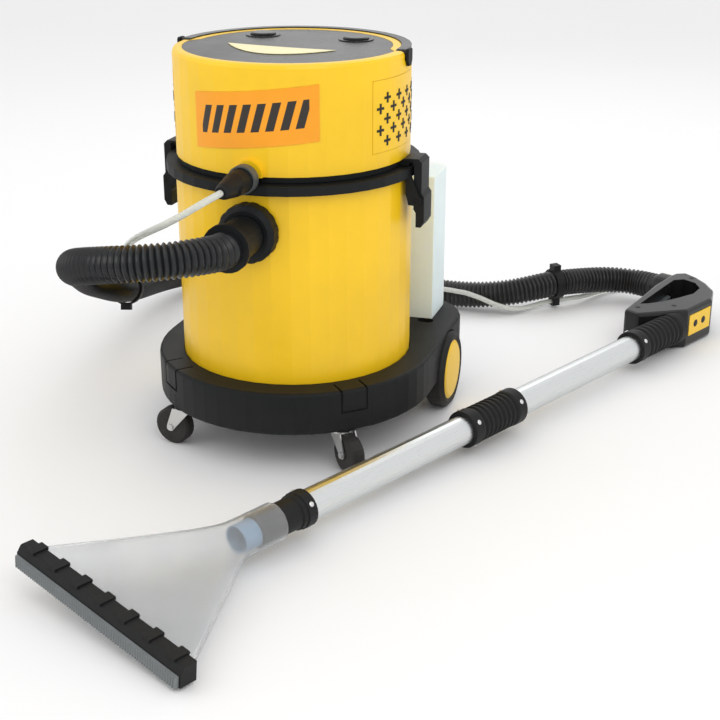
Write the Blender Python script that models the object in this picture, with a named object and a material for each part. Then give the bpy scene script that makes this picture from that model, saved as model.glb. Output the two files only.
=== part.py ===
"""Spray-extraction carpet cleaner: a wheeled drum with a motor head, its hose, and a wand on the floor.

Units are metres and +Z is up. The machine's front, with the hose inlet, faces -Y. The row
origin is under the middle of the whole set, so the drum's axis stands at MACHINE_X, MACHINE_Y
and the wand lies on the floor to the machine's right.
"""

import math

import bmesh
import bpy
import numpy as np
from mathutils import Matrix, Vector

# Places of the two groups in the row frame.
MACHINE_X = -0.1585
MACHINE_Y = 0.0082
WAND_X = 0.129
WAND_Y = -0.296
WAND_Z = 0.035
WAND_HEADING = math.radians(-25.0)

GAP = 0.0003
RUNNING = 0.0004

# Drum and head.
DRUM_R = 0.150
DRUM_WALL = 0.003
DRUM_FLOOR_Z = 0.0765
DRUM_TOP_Z = 0.3520
HEAD_R = 0.148
HEAD_WALL = 0.0035
HEAD_BOTTOM_Z = 0.3705
HEAD_TOP_Z = 0.5016
RING_R = 0.1616
RING_BOTTOM_Z = 0.3511
RING_TOP_Z = 0.3627
RING_LIP_R = 0.1440

# Wheeled base.
BASE_R = 0.183
BASE_BOTTOM_Z = 0.0536
BASE_TOP_Z = 0.1090
BASE_REAR_Y = 0.228
BASE_SIDE_Y = 0.157
CASTER_X = 0.1065
CASTER_Y = -0.130
CASTER_WHEEL_R = 0.025
CASTER_WHEEL_W = 0.018
CASTER_TRAIL = 0.018
CASTER_PIN_R = 0.003
REAR_WHEEL_R = 0.053
REAR_WHEEL_W = 0.028
REAR_WHEEL_Y = 0.100
REAR_TRACK_X = 0.192
AXLE_R = 0.006

# Inlet, latches, tank.
INLET_Z = 0.3045
INLET_R = 0.0235
NUT_R = 0.0355
LATCH_W = 0.035
LATCH_PIVOT_X = 0.1680
LATCH_PIVOT_Z = 0.322
LATCH_PIN_R = 0.003
TANK_TOP_Z = 0.312
TANK_HALF = 0.149
TANK_WALL = 0.0025

# Hose, spray tube and wand.
HOSE_R = 0.0215
TUBE_R = 0.004
WAND_R = 0.019
WAND_WALL = 0.0015
LOWER_TUBE = (-0.0315, 0.289)
UPPER_TUBE = (0.356, 0.680)
ENGAGED = 0.020
SLEEVE_R = 0.0230
HANDLE_LOW = -0.0345
HANDLE_HIGH = 0.0270

# How many sides the large turned pieces share, so that they nest evenly.
SIDES = 40

YELLOW = (0.90, 0.55, 0.01)
BLACK = (0.022, 0.024, 0.026)
GREY = (0.16, 0.18, 0.19)
STEEL = (0.62, 0.64, 0.64)
RUBBER = (0.018, 0.018, 0.018)
CLEAR = (0.80, 0.86, 0.86)
CREAM = (0.85, 0.78, 0.45)

for old in list(bpy.data.objects):
    bpy.data.objects.remove(old, do_unlink=True)


# --- helpers -------------------------------------------------------------------------------


def material(name, colour, roughness, metallic=0.0):
    """One Principled material per finish, shared by the pieces that have it."""
    made = bpy.data.materials.get(name)
    if made is None:
        made = bpy.data.materials.new(name)
        made.use_nodes = True
        shader = made.node_tree.nodes["Principled BSDF"]
        shader.inputs["Base Color"].default_value = (*colour, 1.0)
        shader.inputs["Roughness"].default_value = roughness
        shader.inputs["Metallic"].default_value = metallic
    return made


FINISHES = {
    "yellow": (YELLOW, 0.35, 0.0),
    "black": (BLACK, 0.50, 0.0),
    "grey": (GREY, 0.50, 0.0),
    "steel": (STEEL, 0.30, 1.0),
    "rubber": (RUBBER, 0.75, 0.0),
    "clear": (CLEAR, 0.30, 0.0),
    "cream": (CREAM, 0.45, 0.0),
    "aluminium": (STEEL, 0.35, 1.0),
}


def empty(name, place, turn=(0, 0, 0)):
    """A guide that carries a group of pieces."""
    made = bpy.data.objects.new(name, None)
    made.location = place
    made.rotation_euler = turn
    bpy.context.collection.objects.link(made)
    return made


MACHINE = empty("machine_axis", (MACHINE_X, MACHINE_Y, 0))
WAND = empty("wand_axis", (MACHINE_X + WAND_X, MACHINE_Y + WAND_Y, WAND_Z), (0, 0, WAND_HEADING))


def finished(name, mesh, finish, parent, place=(0, 0, 0), turn=(0, 0, 0)):
    """A visible piece with outward faces, smooth where it is round."""
    work = bmesh.new()
    work.from_mesh(mesh)
    bmesh.ops.recalc_face_normals(work, faces=work.faces)
    work.to_mesh(mesh)
    work.free()
    mesh.shade_smooth()
    mesh.set_sharp_from_angle(angle=math.radians(35))
    made = bpy.data.objects.new(name, mesh)
    made.location = place
    made.rotation_euler = turn
    made.parent = parent
    bpy.context.collection.objects.link(made)
    if finish:
        colour, roughness, metallic = FINISHES[finish]
        mesh.materials.append(material(finish, colour, roughness, metallic))
    return made


def tool(mesh, parent, place=(0, 0, 0), turn=(0, 0, 0)):
    """A hidden solid that cuts or joins another piece."""
    made = finished("tool", mesh, None, parent, place, turn)
    made.hide_render = True
    made.display_type = "WIRE"
    return made


def combine(piece, other, operation):
    step = piece.modifiers.new(operation.lower(), "BOOLEAN")
    step.operation = operation
    step.solver = "EXACT"
    step.object = other


def cut(piece, *others):
    for other in others:
        combine(piece, other, "DIFFERENCE")


def join(piece, *others):
    for other in others:
        combine(piece, other, "UNION")


def mesh_from(points, faces):
    mesh = bpy.data.meshes.new("shape")
    mesh.from_pydata(points, [], faces)
    return mesh


def lathe(profile, segments=48, bumps=None):
    """A closed profile of (radius, z) turned round Z; it may touch the axis or stay clear of it.

    bumps(angle, radius) gives a factor on the radius, for a scalloped rim.
    """
    points, rings = [], []
    for radius, z in profile:
        if radius < 1e-7:
            rings.append([len(points)])
            points.append((0, 0, z))
            continue
        rings.append(list(range(len(points), len(points) + segments)))
        for i in range(segments):
            angle = 2 * math.pi * i / segments
            far = radius * (bumps(angle, radius) if bumps else 1.0)
            points.append((far * math.cos(angle), far * math.sin(angle), z))
    faces = []
    for a, b in zip(rings, rings[1:] + rings[:1]):
        for i in range(segments):
            j = (i + 1) % segments
            quad = [a[i % len(a)], a[j % len(a)], b[j % len(b)], b[i % len(b)]]
            kept = list(dict.fromkeys(quad))
            if len(kept) > 2:
                faces.append(kept)
    return mesh_from(points, faces)


def rod(radius, low, high, segments=24):
    """A plain round bar along Z."""
    return lathe([(0, low), (radius, low), (radius, high), (0, high)], segments)


def pipe(outer, inner, low, high, segments=32):
    """A round tube along Z."""
    return lathe([(outer, high), (outer, low), (inner, low), (inner, high)], segments)


def prism(outline, low, high):
    """A flat outline of (x, y) points raised from low to high."""
    count = len(outline)
    points = [(x, y, low) for x, y in outline] + [(x, y, high) for x, y in outline]
    faces = [list(range(count)), list(range(count, 2 * count))]
    for i in range(count):
        j = (i + 1) % count
        faces.append([i, j, count + j, count + i])
    return mesh_from(points, faces)


def block(x0, x1, y0, y1, z0, z1):
    return prism([(x0, y0), (x1, y0), (x1, y1), (x0, y1)], z0, z1)


def arc(x, y, radius, start, end, count):
    """Points on a circle, from start to end in degrees from +X."""
    spread = np.radians(np.linspace(start, end, count))
    return [(x + radius * math.cos(a), y + radius * math.sin(a)) for a in spread]


def rounded(outline, width, segments=2):
    """Rounds all sharp edges of a solid by a bevel."""
    step = outline.modifiers.new("round", "BEVEL")
    step.width = width
    step.segments = segments
    step.limit_method = "ANGLE"
    step.angle_limit = math.radians(40)
    step.harden_normals = False
    return outline


def smooth_route(points, count):
    """Even points on the natural cubic curve through a route's own points."""
    route = np.array(points, float)
    along = np.concatenate([[0], np.cumsum(np.linalg.norm(np.diff(route, axis=0), axis=1))])
    gaps = np.diff(along)
    size = len(route)
    system = np.eye(size)
    right = np.zeros((size, 3))
    for i in range(1, size - 1):
        system[i, i - 1] = gaps[i - 1]
        system[i, i] = 2 * (gaps[i - 1] + gaps[i])
        system[i, i + 1] = gaps[i]
        rise = (route[i + 1] - route[i]) / gaps[i] - (route[i] - route[i - 1]) / gaps[i - 1]
        right[i] = 6 * rise
    bend = np.linalg.solve(system, right)
    at = np.linspace(0, along[-1], count)
    k = np.clip(np.searchsorted(along, at, side="right") - 1, 0, size - 2)
    h = gaps[k][:, None]
    a = (along[k + 1] - at)[:, None]
    b = (at - along[k])[:, None]
    line = (bend[k] * a**3 + bend[k + 1] * b**3) / (6 * h)
    line += (route[k] / h - bend[k] * h / 6) * a + (route[k + 1] / h - bend[k + 1] * h / 6) * b
    return line


def straight_ended(points, count):
    """A smooth route whose first and last stretches are straight, so its ends face square."""
    return np.vstack([points[:1], smooth_route(points[1:-1], count - 2), points[-1:]])


def cord(name, line, radius, resolution, finish):
    """A round cord along a line of row-frame points, with filled ends."""
    data = bpy.data.curves.new(name, "CURVE")
    data.dimensions = "3D"
    data.bevel_depth = radius
    data.bevel_resolution = resolution
    data.use_fill_caps = True
    spline = data.splines.new("POLY")
    spline.points.add(len(line) - 1)
    for point, place in zip(spline.points, line):
        point.co = (*place, 1.0)
    made = bpy.data.objects.new(name, data)
    bpy.context.collection.objects.link(made)
    colour, roughness, metallic = FINISHES[finish]
    data.materials.append(material(finish, colour, roughness, metallic))
    return made


def machine_point(x, y, z):
    """A machine-frame point in the row frame."""
    return (MACHINE_X + x, MACHINE_Y + y, z)


def wand_point(x, y, z):
    """A wand-frame point in the row frame."""
    turn = Matrix.Rotation(WAND_HEADING, 3, "Z")
    place = Vector((MACHINE_X + WAND_X, MACHINE_Y + WAND_Y, WAND_Z))
    return tuple(turn @ Vector((x, y, z)) + place)


SIDEWAYS = (0, math.radians(90), 0)
FORWARD = (math.radians(90), 0, 0)
BACKWARD = (math.radians(-90), 0, 0)


# --- wheeled base --------------------------------------------------------------------------


def base_outline(inset=0.0):
    """The base's plan: a round front, straight sides and a tail with rounded corners."""
    radius = BASE_R - inset
    corner = BASE_REAR_Y - BASE_SIDE_Y
    outline = arc(0, 0, radius, 180, 360, 29)
    outline += arc(BASE_R - corner, BASE_SIDE_Y, corner - inset, 0, 90, 7)
    outline += arc(corner - BASE_R, BASE_SIDE_Y, corner - inset, 90, 180, 7)
    return outline


def base_tray():
    """The moulded base: a recess for the drum, a hollow underside and caster bosses."""
    tray = finished("base_tray", prism(base_outline(), BASE_BOTTOM_Z, BASE_TOP_Z), "black", MACHINE)
    rounded(tray, 0.0035, 2)
    seat_z = DRUM_FLOOR_Z - GAP
    skin_z = seat_z - 0.006
    cut(tray, tool(rod(DRUM_R + 0.0012, seat_z, BASE_TOP_Z + 0.01, SIDES), MACHINE))
    cut(tray, tool(prism(base_outline(0.005), BASE_BOTTOM_Z - 0.01, skin_z), MACHINE))
    for side in (-1, 1):
        arch = rod(REAR_WHEEL_R + 0.0018, -0.019, 0.019, 32)
        x = side * (REAR_TRACK_X - REAR_WHEEL_W / 2 + 0.003)
        boss = rod(0.0155, BASE_BOTTOM_Z + 0.001, skin_z + 0.002, 16)
        join(tray, tool(boss, MACHINE, (side * CASTER_X, CASTER_Y, 0)))
        hole = rod(0.0060 + RUNNING, BASE_BOTTOM_Z - 0.01, seat_z - 0.0035, 20)
        cut(tray, tool(hole, MACHINE, (side * CASTER_X, CASTER_Y, 0)))
        post = block(-0.006, 0.006, -0.012, 0.012, REAR_WHEEL_R - 0.012, skin_z + 0.002)
        join(tray, tool(post, MACHINE, (side * 0.120, REAR_WHEEL_Y, 0)))
        cut(tray, tool(arch, MACHINE, (x, REAR_WHEEL_Y, REAR_WHEEL_R), SIDEWAYS))
        grooves(tray, side * GROOVE_ANGLE - 90)
    bore = rod(AXLE_R + RUNNING, -0.140, 0.140, 20)
    cut(tray, tool(bore, MACHINE, (0, REAR_WHEEL_Y, REAR_WHEEL_R), SIDEWAYS))
    pocket = arc(0.004, 0, 0.0075, -90, 90, 7) + arc(-0.004, 0, 0.0075, 90, 270, 7)
    cut(tray, tool(prism(pocket, BASE_TOP_Z - 0.012, BASE_TOP_Z + 0.01), MACHINE, (0.142, 0.130, 0)))


GROOVE_ANGLE = 43.0


def grooves(tray, heading):
    """A U of shallow grooves down the base's wall, with its arms running in over the deck."""
    wall = BASE_R - 0.0026
    wide, line, low = 0.0185, 0.0028, BASE_TOP_Z - 0.030
    high = BASE_TOP_Z + 0.01
    shape = [
        (-wide, low),
        (wide, low),
        (wide, high),
        (wide - line, high),
        (wide - line, low + line),
        (line - wide, low + line),
        (line - wide, high),
        (-wide, high),
    ]
    upright = (math.radians(90), 0, math.radians(90 + heading))
    cut(tray, tool(prism(shape, wall, BASE_R + 0.01), MACHINE, (0, 0, 0), upright))
    for middle in (line / 2 - wide, wide - line / 2):
        arm = block(0.1580, wall + 0.0013, middle - 0.0012, middle + 0.0012, BASE_TOP_Z - 0.0025, high - 0.001)
        cut(tray, tool(arm, MACHINE, (0, 0, 0), (0, 0, math.radians(heading))))


def caster(side, name, heading):
    """A swivel caster: stem and fork, wheel and pin; heading is where it trails, from +X."""
    carrier = empty(f"caster_{name}", (side * CASTER_X, CASTER_Y, 0), (0, 0, math.radians(heading)))
    carrier.parent = MACHINE
    plate_z = 2 * CASTER_WHEEL_R + 0.0006
    reach = CASTER_WHEEL_W / 2 + 0.0012
    plate = lathe([(0, plate_z), (0.0150, plate_z), (0.0150, plate_z + 0.0022), (0, plate_z + 0.0022)], 20)
    fork = finished(f"caster_fork_{name}", plate, "steel", carrier)
    join(fork, tool(rod(0.0060, plate_z + 0.001, DRUM_FLOOR_Z - 0.0045, 20), carrier))
    for sign in (-1, 1):
        leg = [(0.0140, plate_z + 0.0012), (-0.0125, plate_z + 0.0012)]
        leg += [(x, z) for x, z in arc(CASTER_TRAIL, CASTER_WHEEL_R, 0.0055, 200, 380, 7)]
        low, high = (reach, reach + 0.0018) if sign > 0 else (-reach - 0.0018, -reach)
        join(fork, tool(prism(leg, -high, -low), carrier, (0, 0, 0), FORWARD))
    pin_hole = rod(CASTER_PIN_R + 0.0002, -0.03, 0.03, 12)
    cut(fork, tool(pin_hole, carrier, (CASTER_TRAIL, 0, CASTER_WHEEL_R), FORWARD))
    half = CASTER_WHEEL_W / 2
    tread = [
        (CASTER_PIN_R + RUNNING, -half),
        (CASTER_WHEEL_R - 0.003, -half),
        (CASTER_WHEEL_R, -half + 0.003),
        (CASTER_WHEEL_R, half - 0.003),
        (CASTER_WHEEL_R - 0.003, half),
        (CASTER_PIN_R + RUNNING, half),
    ]
    centre = (CASTER_TRAIL, 0, CASTER_WHEEL_R)
    finished(f"caster_wheel_{name}", lathe(tread, 24), "rubber", carrier, centre, FORWARD)
    head = reach + 0.0018 + GAP
    pin = [(0, -head - 0.0018), (0.0042, -head - 0.0018), (0.0042, -head), (CASTER_PIN_R, -head)]
    pin += [(CASTER_PIN_R, head), (0.0042, head), (0.0042, head + 0.0018), (0, head + 0.0018)]
    finished(f"caster_axle_{name}", lathe(pin, 12), "steel", carrier, centre, FORWARD)


def rear_wheel(side, name):
    """A tyre on a yellow hub that turns on the fixed axle."""
    place = (side * (REAR_TRACK_X - REAR_WHEEL_W / 2), REAR_WHEEL_Y, REAR_WHEEL_R)
    half = REAR_WHEEL_W / 2
    turn = (0, math.radians(90 * side), 0)
    hub_r = 0.0410
    tyre = [
        (hub_r + GAP, half - 0.003),
        (hub_r + GAP, -half),
        (REAR_WHEEL_R - 0.004, -half),
        (REAR_WHEEL_R, -half + 0.005),
        (REAR_WHEEL_R, half - 0.007),
        (REAR_WHEEL_R - 0.006, half - 0.001),
    ]
    finished(f"rear_tyre_{name}", lathe(tyre, 36), "rubber", MACHINE, place, turn)
    hub = [
        (AXLE_R + RUNNING, -half + 0.002),
        (hub_r, -half + 0.002),
        (hub_r, half - 0.0035),
        (hub_r - 0.004, half - 0.001),
        (0.012, half),
        (0, half),
        (0, half - 0.006),
        (AXLE_R + RUNNING, half - 0.006),
    ]
    finished(f"rear_hub_{name}", lathe(hub, 36), "yellow", MACHINE, place, turn)


# --- drum ----------------------------------------------------------------------------------


def drum():
    """The recovery drum, open at the top, with a hole for the inlet."""
    inner = DRUM_R - DRUM_WALL
    profile = [
        (0, DRUM_FLOOR_Z),
        (DRUM_R - 0.006, DRUM_FLOOR_Z),
        (DRUM_R, DRUM_FLOOR_Z + 0.006),
        (DRUM_R, DRUM_TOP_Z),
        (inner, DRUM_TOP_Z),
        (inner, DRUM_FLOOR_Z + 0.008),
        (inner - 0.006, DRUM_FLOOR_Z + 0.003),
        (0, DRUM_FLOOR_Z + 0.003),
    ]
    shell = finished("drum", lathe(profile, SIDES), "yellow", MACHINE)
    hole = rod(INLET_R + 0.0005, 0.120, 0.180, 24)
    cut(shell, tool(hole, MACHINE, (0, 0, INLET_Z), FORWARD))


def drum_ring():
    """The black ring that caps the drum's edge, with two pairs of latch lugs."""
    profile = [
        (DRUM_R + GAP, RING_BOTTOM_Z),
        (RING_R, RING_BOTTOM_Z),
        (RING_R, RING_TOP_Z),
        (RING_LIP_R, RING_TOP_Z),
        (RING_LIP_R, DRUM_TOP_Z + GAP),
        (DRUM_R + GAP, DRUM_TOP_Z + GAP),
    ]
    ring = finished("drum_ring", lathe(profile, SIDES), "black", MACHINE)
    inner = LATCH_W / 2 + 0.0006
    for side in (-1, 1):
        for sign in (-1, 1):
            lug = [(0.1545, 0.3300), (0.1580, 0.3160)]
            lug += arc(LATCH_PIVOT_X, LATCH_PIVOT_Z, 0.0065, -100, 60, 6) + [(0.1600, 0.3560), (0.1545, 0.3560)]
            lug = [(side * x, z) for x, z in lug]
            low, high = (inner, inner + 0.004) if sign > 0 else (-inner - 0.004, -inner)
            join(ring, tool(prism(lug, -high, -low), MACHINE, (0, 0, 0), FORWARD))
        pin = rod(LATCH_PIN_R + 0.0003, -0.03, 0.03, 16)
        cut(ring, tool(pin, MACHINE, (side * LATCH_PIVOT_X, 0, LATCH_PIVOT_Z), FORWARD))


def latch(side, name):
    """A rocking latch whose hook holds the head's lug; its pins turn in the ring's lugs."""
    place = (side * LATCH_PIVOT_X, 0, LATCH_PIVOT_Z)
    outline = [
        (0.1492, 0.3707),
        (0.1492, 0.3720),
        (0.1560, 0.3735),
        (0.1690, 0.3735),
        (0.1735, 0.3690),
        (0.1735, 0.3310),
        (0.1770, 0.3260),
        (0.1770, 0.2940),
        (0.1730, 0.2870),
        (0.1665, 0.2870),
        (0.1665, 0.3050),
        (0.1635, 0.3100),
        (0.1635, 0.3707),
    ]
    flat = [(side * (x - LATCH_PIVOT_X), z - LATCH_PIVOT_Z) for x, z in outline]
    half = LATCH_W / 2
    body = finished(f"latch_{name}", prism(flat, -half, half), "black", MACHINE, place, FORWARD)
    join(body, tool(rod(LATCH_PIN_R, -half - 0.0042, half + 0.0042, 16), MACHINE, place, FORWARD))


def inlet():
    """The inlet fitting through the drum's wall, its ring nut and the hose's swivel cuff."""
    place = (0, 0, INLET_Z)
    bore = INLET_R - 0.004
    fitting = [
        (bore, 0.1395),
        (0.0300, 0.1395),
        (0.0300, 0.1430),
        (INLET_R, 0.1430),
        (INLET_R, 0.1730),
        (bore, 0.1730),
    ]
    finished("inlet_fitting", lathe(fitting, 24), "black", MACHINE, place, FORWARD)

    def scallops(angle, radius):
        return 1.0 if radius < 0.030 else 1.0 + 0.028 * abs(math.sin(8 * angle))

    nut = [
        (INLET_R + GAP, 0.1508),
        (NUT_R, 0.1508),
        (NUT_R, 0.1655),
        (NUT_R - 0.006, 0.1695),
        (INLET_R + GAP, 0.1695),
    ]
    finished("inlet_ring_nut", lathe(nut, 48, scallops), "black", MACHINE, place, FORWARD)
    cuff = [
        (bore, 0.1734),
        (INLET_R + 0.001, 0.1734),
        (INLET_R + 0.001, 0.2185),
        (0.0292, 0.2195),
        (0.0292, 0.2265),
        (bore, 0.2265),
    ]
    finished("hose_cuff", lathe(cuff, 24), "black", MACHINE, place, FORWARD)


# --- head ----------------------------------------------------------------------------------

PANEL_FRONT_R = 0.1355
PANEL_REAR_R = 0.1248
PANEL_Z = 0.4975
PANEL_TOP_Z = 0.5013
VENT_HALF = 30.0
VENT_LOW_Z = 0.389
VENT_HIGH_Z = 0.476
BAIL_IN = 0.1356
BAIL_OUT = 0.1478
BAIL_Z = 0.4970
BAIL_HALF = 0.0060
SPRAY_Z = 0.3720
TANK_FEED_X = -0.050
TANK_FEED_Z = 0.400
GLAND_X = 0.060
GLAND_Z = 0.400
SWITCH_X = 0.063
SWITCH_Y = 0.062
SWITCH_R = 0.0165


def sector(inner, outer, start, end, low, high, count=17):
    """A piece of a ring between two angles, raised from low to high."""
    outline = arc(0, 0, outer, start, end, count) + arc(0, 0, inner, end, start, count)
    return prism(outline, low, high)


def panel_outline(grow=0.0):
    """The top panel's plan: wide at the front, and narrower behind, where the bail lies."""
    turn = math.degrees(1.5 * grow / PANEL_REAR_R)
    outline = arc(0, 0, PANEL_FRONT_R + grow, 184.5 - turn, 355.5 + turn, 25)
    outline += arc(0, 0, PANEL_REAR_R + grow, 2.5 + turn, 177.5 - turn, 23)
    return outline


def head_shell():
    """The yellow motor cover with its panel recess, the bail's groove and the vent openings."""
    inner = HEAD_R - HEAD_WALL
    inside = BAIL_IN - 0.0006
    profile = [
        (HEAD_R, HEAD_BOTTOM_Z),
        (HEAD_R, HEAD_TOP_Z - 0.005),
        (HEAD_R - 0.0015, HEAD_TOP_Z - 0.0015),
        (HEAD_R - 0.005, HEAD_TOP_Z),
        (0, HEAD_TOP_Z),
        (0, PANEL_Z - HEAD_WALL),
        (inside - 0.003, PANEL_Z - HEAD_WALL),
        (inside - 0.003, 0.4860),
        (inner, 0.4830),
        (inner, HEAD_BOTTOM_Z),
    ]
    shell = finished("head_shell", lathe(profile, SIDES), "yellow", MACHINE)
    cut(shell, tool(prism(panel_outline(GAP), PANEL_Z, HEAD_TOP_Z + 0.01), MACHINE))
    floor_z = BAIL_Z - BAIL_HALF - 0.0007
    reach = math.degrees((BAIL_HALF + 0.0012) / BAIL_IN)
    groove = sector(inside, HEAD_R + 0.01, -reach, 180 + reach, floor_z, HEAD_TOP_Z + 0.01, 25)
    cut(shell, tool(groove, MACHINE))
    for middle, name in ((0, "right"), (180, "left")):
        low, high = middle - VENT_HALF, middle + VENT_HALF
        window = sector(HEAD_R - 0.02, HEAD_R + 0.02, low, high, VENT_LOW_Z, VENT_HIGH_Z)
        cut(shell, tool(window, MACHINE))
        edge = math.degrees(GAP / HEAD_R)
        patch = sector(inner, HEAD_R, low + edge, high - edge, VENT_LOW_Z + GAP, VENT_HIGH_Z - GAP)
        finished(f"vent_grille_{name}", patch, "yellow", MACHINE)
    boss = arc(0, 0.3740, 0.0170, 0, 180, 9)
    boss = [(x, z) for x, z in boss if z > HEAD_BOTTOM_Z] + [(-0.0170, HEAD_BOTTOM_Z), (0.0170, HEAD_BOTTOM_Z)]
    join(shell, tool(prism(boss, inner + 0.001, 0.1525), MACHINE, (0, 0, 0), FORWARD))
    cut(shell, tool(rod(0.0073, 0.130, 0.160, 16), MACHINE, (TANK_FEED_X, 0, TANK_FEED_Z), BACKWARD))
    cut(shell, tool(rod(0.0093, 0.120, 0.160, 16), MACHINE, (GLAND_X, 0, GLAND_Z), BACKWARD))
    for side in (-1, 1):
        hole = rod(SWITCH_R + 0.0005, 0.48, 0.51, 20)
        cut(shell, tool(hole, MACHINE, (side * SWITCH_X, SWITCH_Y, 0)))


def head_base():
    """The black motor plate: it closes the head, centres it in the drum and carries lugs."""
    profile = [
        (0.030, 0.3632),
        (0.1380, 0.3632),
        (0.1380, 0.3480),
        (0.1425, 0.3480),
        (0.1425, 0.3632),
        (0.1460, 0.3632),
        (0.1460, HEAD_BOTTOM_Z - GAP),
        (0.030, HEAD_BOTTOM_Z - GAP),
    ]
    plate = finished("head_base", lathe(profile, SIDES), "black", MACHINE)
    for side in (-1, 1):
        lug = block(0.1400, 0.1560, -0.014, 0.014, 0.3634, HEAD_BOTTOM_Z - GAP)
        join(plate, tool(lug, MACHINE, (0, 0, 0), (0, 0, math.radians(90 - 90 * side))))


def top_panel():
    """The matt black top with raised switch collars, its two switches and the crescent inlay."""
    top = PANEL_TOP_Z
    panel = finished("top_panel", prism(panel_outline(), PANEL_Z + GAP, top), "black", MACHINE)
    for side in (-1, 1):
        place = (side * SWITCH_X, SWITCH_Y, 0)
        join(panel, tool(rod(0.0225, top - 0.0015, top + 0.0012, 24), MACHINE, place))
        cut(panel, tool(rod(SWITCH_R + 0.0005, 0.48, 0.52, 20), MACHINE, place))
        name = "right" if side > 0 else "left"
        high = top + 0.0040
        button = [(0, 0.4945), (SWITCH_R, 0.4945), (SWITCH_R, high - 0.0012), (SWITCH_R - 0.002, high), (0, high)]
        finished(f"switch_{name}", lathe(button, 20), "black", MACHINE, place)
    share = np.linspace(-1, 1, 15)
    ends = [(-0.006 + 0.073 * t, -0.0225 - 0.0065 * t) for t in share]
    outer = [(x, y - 0.0535 * (1 - t * t)) for (x, y), t in zip(ends, share)]
    inner = [(x, y - 0.0035 * (1 - t * t)) for (x, y), t in zip(ends, share)]
    smile = outer + inner[-2:0:-1]
    finished("crescent_plate", prism(smile, top + GAP, top + 0.0010), "cream", MACHINE)


def carry_handle():
    """The bail: a half ring that lies in the rear rim and swings up on two side pivots."""
    ring = sector(BAIL_IN, BAIL_OUT, 0, 180, -BAIL_HALF, BAIL_HALF, 21)
    bail = finished("carry_handle", ring, "black", MACHINE, (0, 0, BAIL_Z))
    width = BAIL_OUT - BAIL_IN
    middle = (BAIL_IN + BAIL_OUT) / 2
    for side in (-1, 1):
        end = rod(BAIL_HALF + 0.0003, -width / 2 - 0.0002, width / 2 + 0.0002, 16)
        join(bail, tool(end, MACHINE, (side * middle, 0, BAIL_Z), SIDEWAYS))
        cut(bail, tool(rod(0.0023, -width, width, 12), MACHINE, (side * middle, 0, BAIL_Z), SIDEWAYS))
        name = "right" if side > 0 else "left"
        tab = [(-0.0075, 0.4900), (-0.0035, 0.4835), (0.0055, 0.4835), (0.0095, 0.4900), (0.0095, 0.5025)]
        tab = [(side * y, z) for y, z in tab + [(0.0055, 0.5040), (-0.0055, 0.5040), (-0.0075, 0.5020)]]
        turn = (math.radians(90), 0, math.radians(90 * side))
        plate = prism(tab, HEAD_R + 0.0005, HEAD_R + 0.0040)
        pivot = finished(f"carry_pivot_{name}", plate, "black", MACHINE, (0, 0, 0), turn)
        pin = rod(0.0020, BAIL_IN + 0.002, HEAD_R + 0.002, 12)
        join(pivot, tool(pin, MACHINE, (0, 0, BAIL_Z), (0, math.radians(90 * side), 0)))


def motor_set():
    """The suction motor, its turbine, the pump and the float cage under the motor plate."""
    top = HEAD_BOTTOM_Z
    case = [
        (0.0500, top),
        (0.0580, top),
        (0.0580, 0.4200),
        (0.0400, 0.4300),
        (0.0400, 0.4700),
        (0.0050, 0.4700),
        (0.0050, 0.3960),
        (0.0500, 0.3960),
    ]
    finished("motor", lathe(case, 24), "grey", MACHINE)
    rotor = [(0, 0.3740), (0.0460, 0.3740), (0.0460, 0.3860), (0.0045, 0.3860), (0.0045, 0.4600), (0, 0.4600)]
    finished("turbine", lathe(rotor, 24), "steel", MACHINE)
    pump = block(-0.022, 0.022, -0.016, 0.016, top, 0.4080)
    finished("pump", pump, "black", MACHINE, (0, 0.100, 0))
    cage = [
        (0, 0.2800),
        (0.0340, 0.2800),
        (0.0340, 0.3555),
        (0.0400, 0.3555),
        (0.0400, 0.3629),
        (0.0310, 0.3629),
        (0.0310, 0.2830),
        (0, 0.2830),
    ]
    basket = finished("float_cage", lathe(cage, 24), "black", MACHINE)
    for k in range(4):
        slot = block(-0.05, 0.05, -0.006, 0.006, 0.292, 0.335)
        cut(basket, tool(slot, MACHINE, (0, 0, 0), (0, 0, math.radians(45 * k))))
    ball = bmesh.new()
    bmesh.ops.create_icosphere(ball, subdivisions=2, radius=0.0180)
    mesh = bpy.data.meshes.new("ball")
    ball.to_mesh(mesh)
    ball.free()
    finished("float_ball", mesh, "cream", MACHINE, (0, 0, 0.3015))
    finished("filter_sleeve", pipe(0.0440, 0.0345, 0.2850, 0.3550, 24), "grey", MACHINE)


def spray_outlet():
    """The quick coupling on the head's front, with the plug of the spray tube before it."""
    place = (0, 0, SPRAY_Z)
    socket = [
        (0, 0.1528),
        (0.0087, 0.1528),
        (0.0087, 0.1626),
        (0.0146, 0.1626),
        (0.0146, 0.1746),
        (0, 0.1746),
    ]
    finished("coupling_socket", lathe(socket, 20), "black", MACHINE, place, FORWARD)
    collar = [(0.0151, 0.1624), (0.0172, 0.1624), (0.0172, 0.1750), (0.0151, 0.1750)]
    finished("coupling_collar", lathe(collar, 24), "grey", MACHINE, place, FORWARD)
    plug = [
        (0, 0.1753),
        (0.0146, 0.1753),
        (0.0142, 0.1960),
        (0.0095, 0.2270),
        (0.0070, 0.2340),
        (0, 0.2340),
    ]
    body = finished("spray_plug", lathe(plug, 20), "black", MACHINE, place, FORWARD)
    thumb = (0, -0.2030, SPRAY_Z)
    tilt = (0, math.radians(110), 0)
    cut(body, tool(rod(0.0050, 0.0080, 0.0300, 16), MACHINE, thumb, tilt))
    finished("plug_button", rod(0.0046, 0.0098, 0.0150, 16), "black", MACHINE, thumb, tilt)


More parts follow.
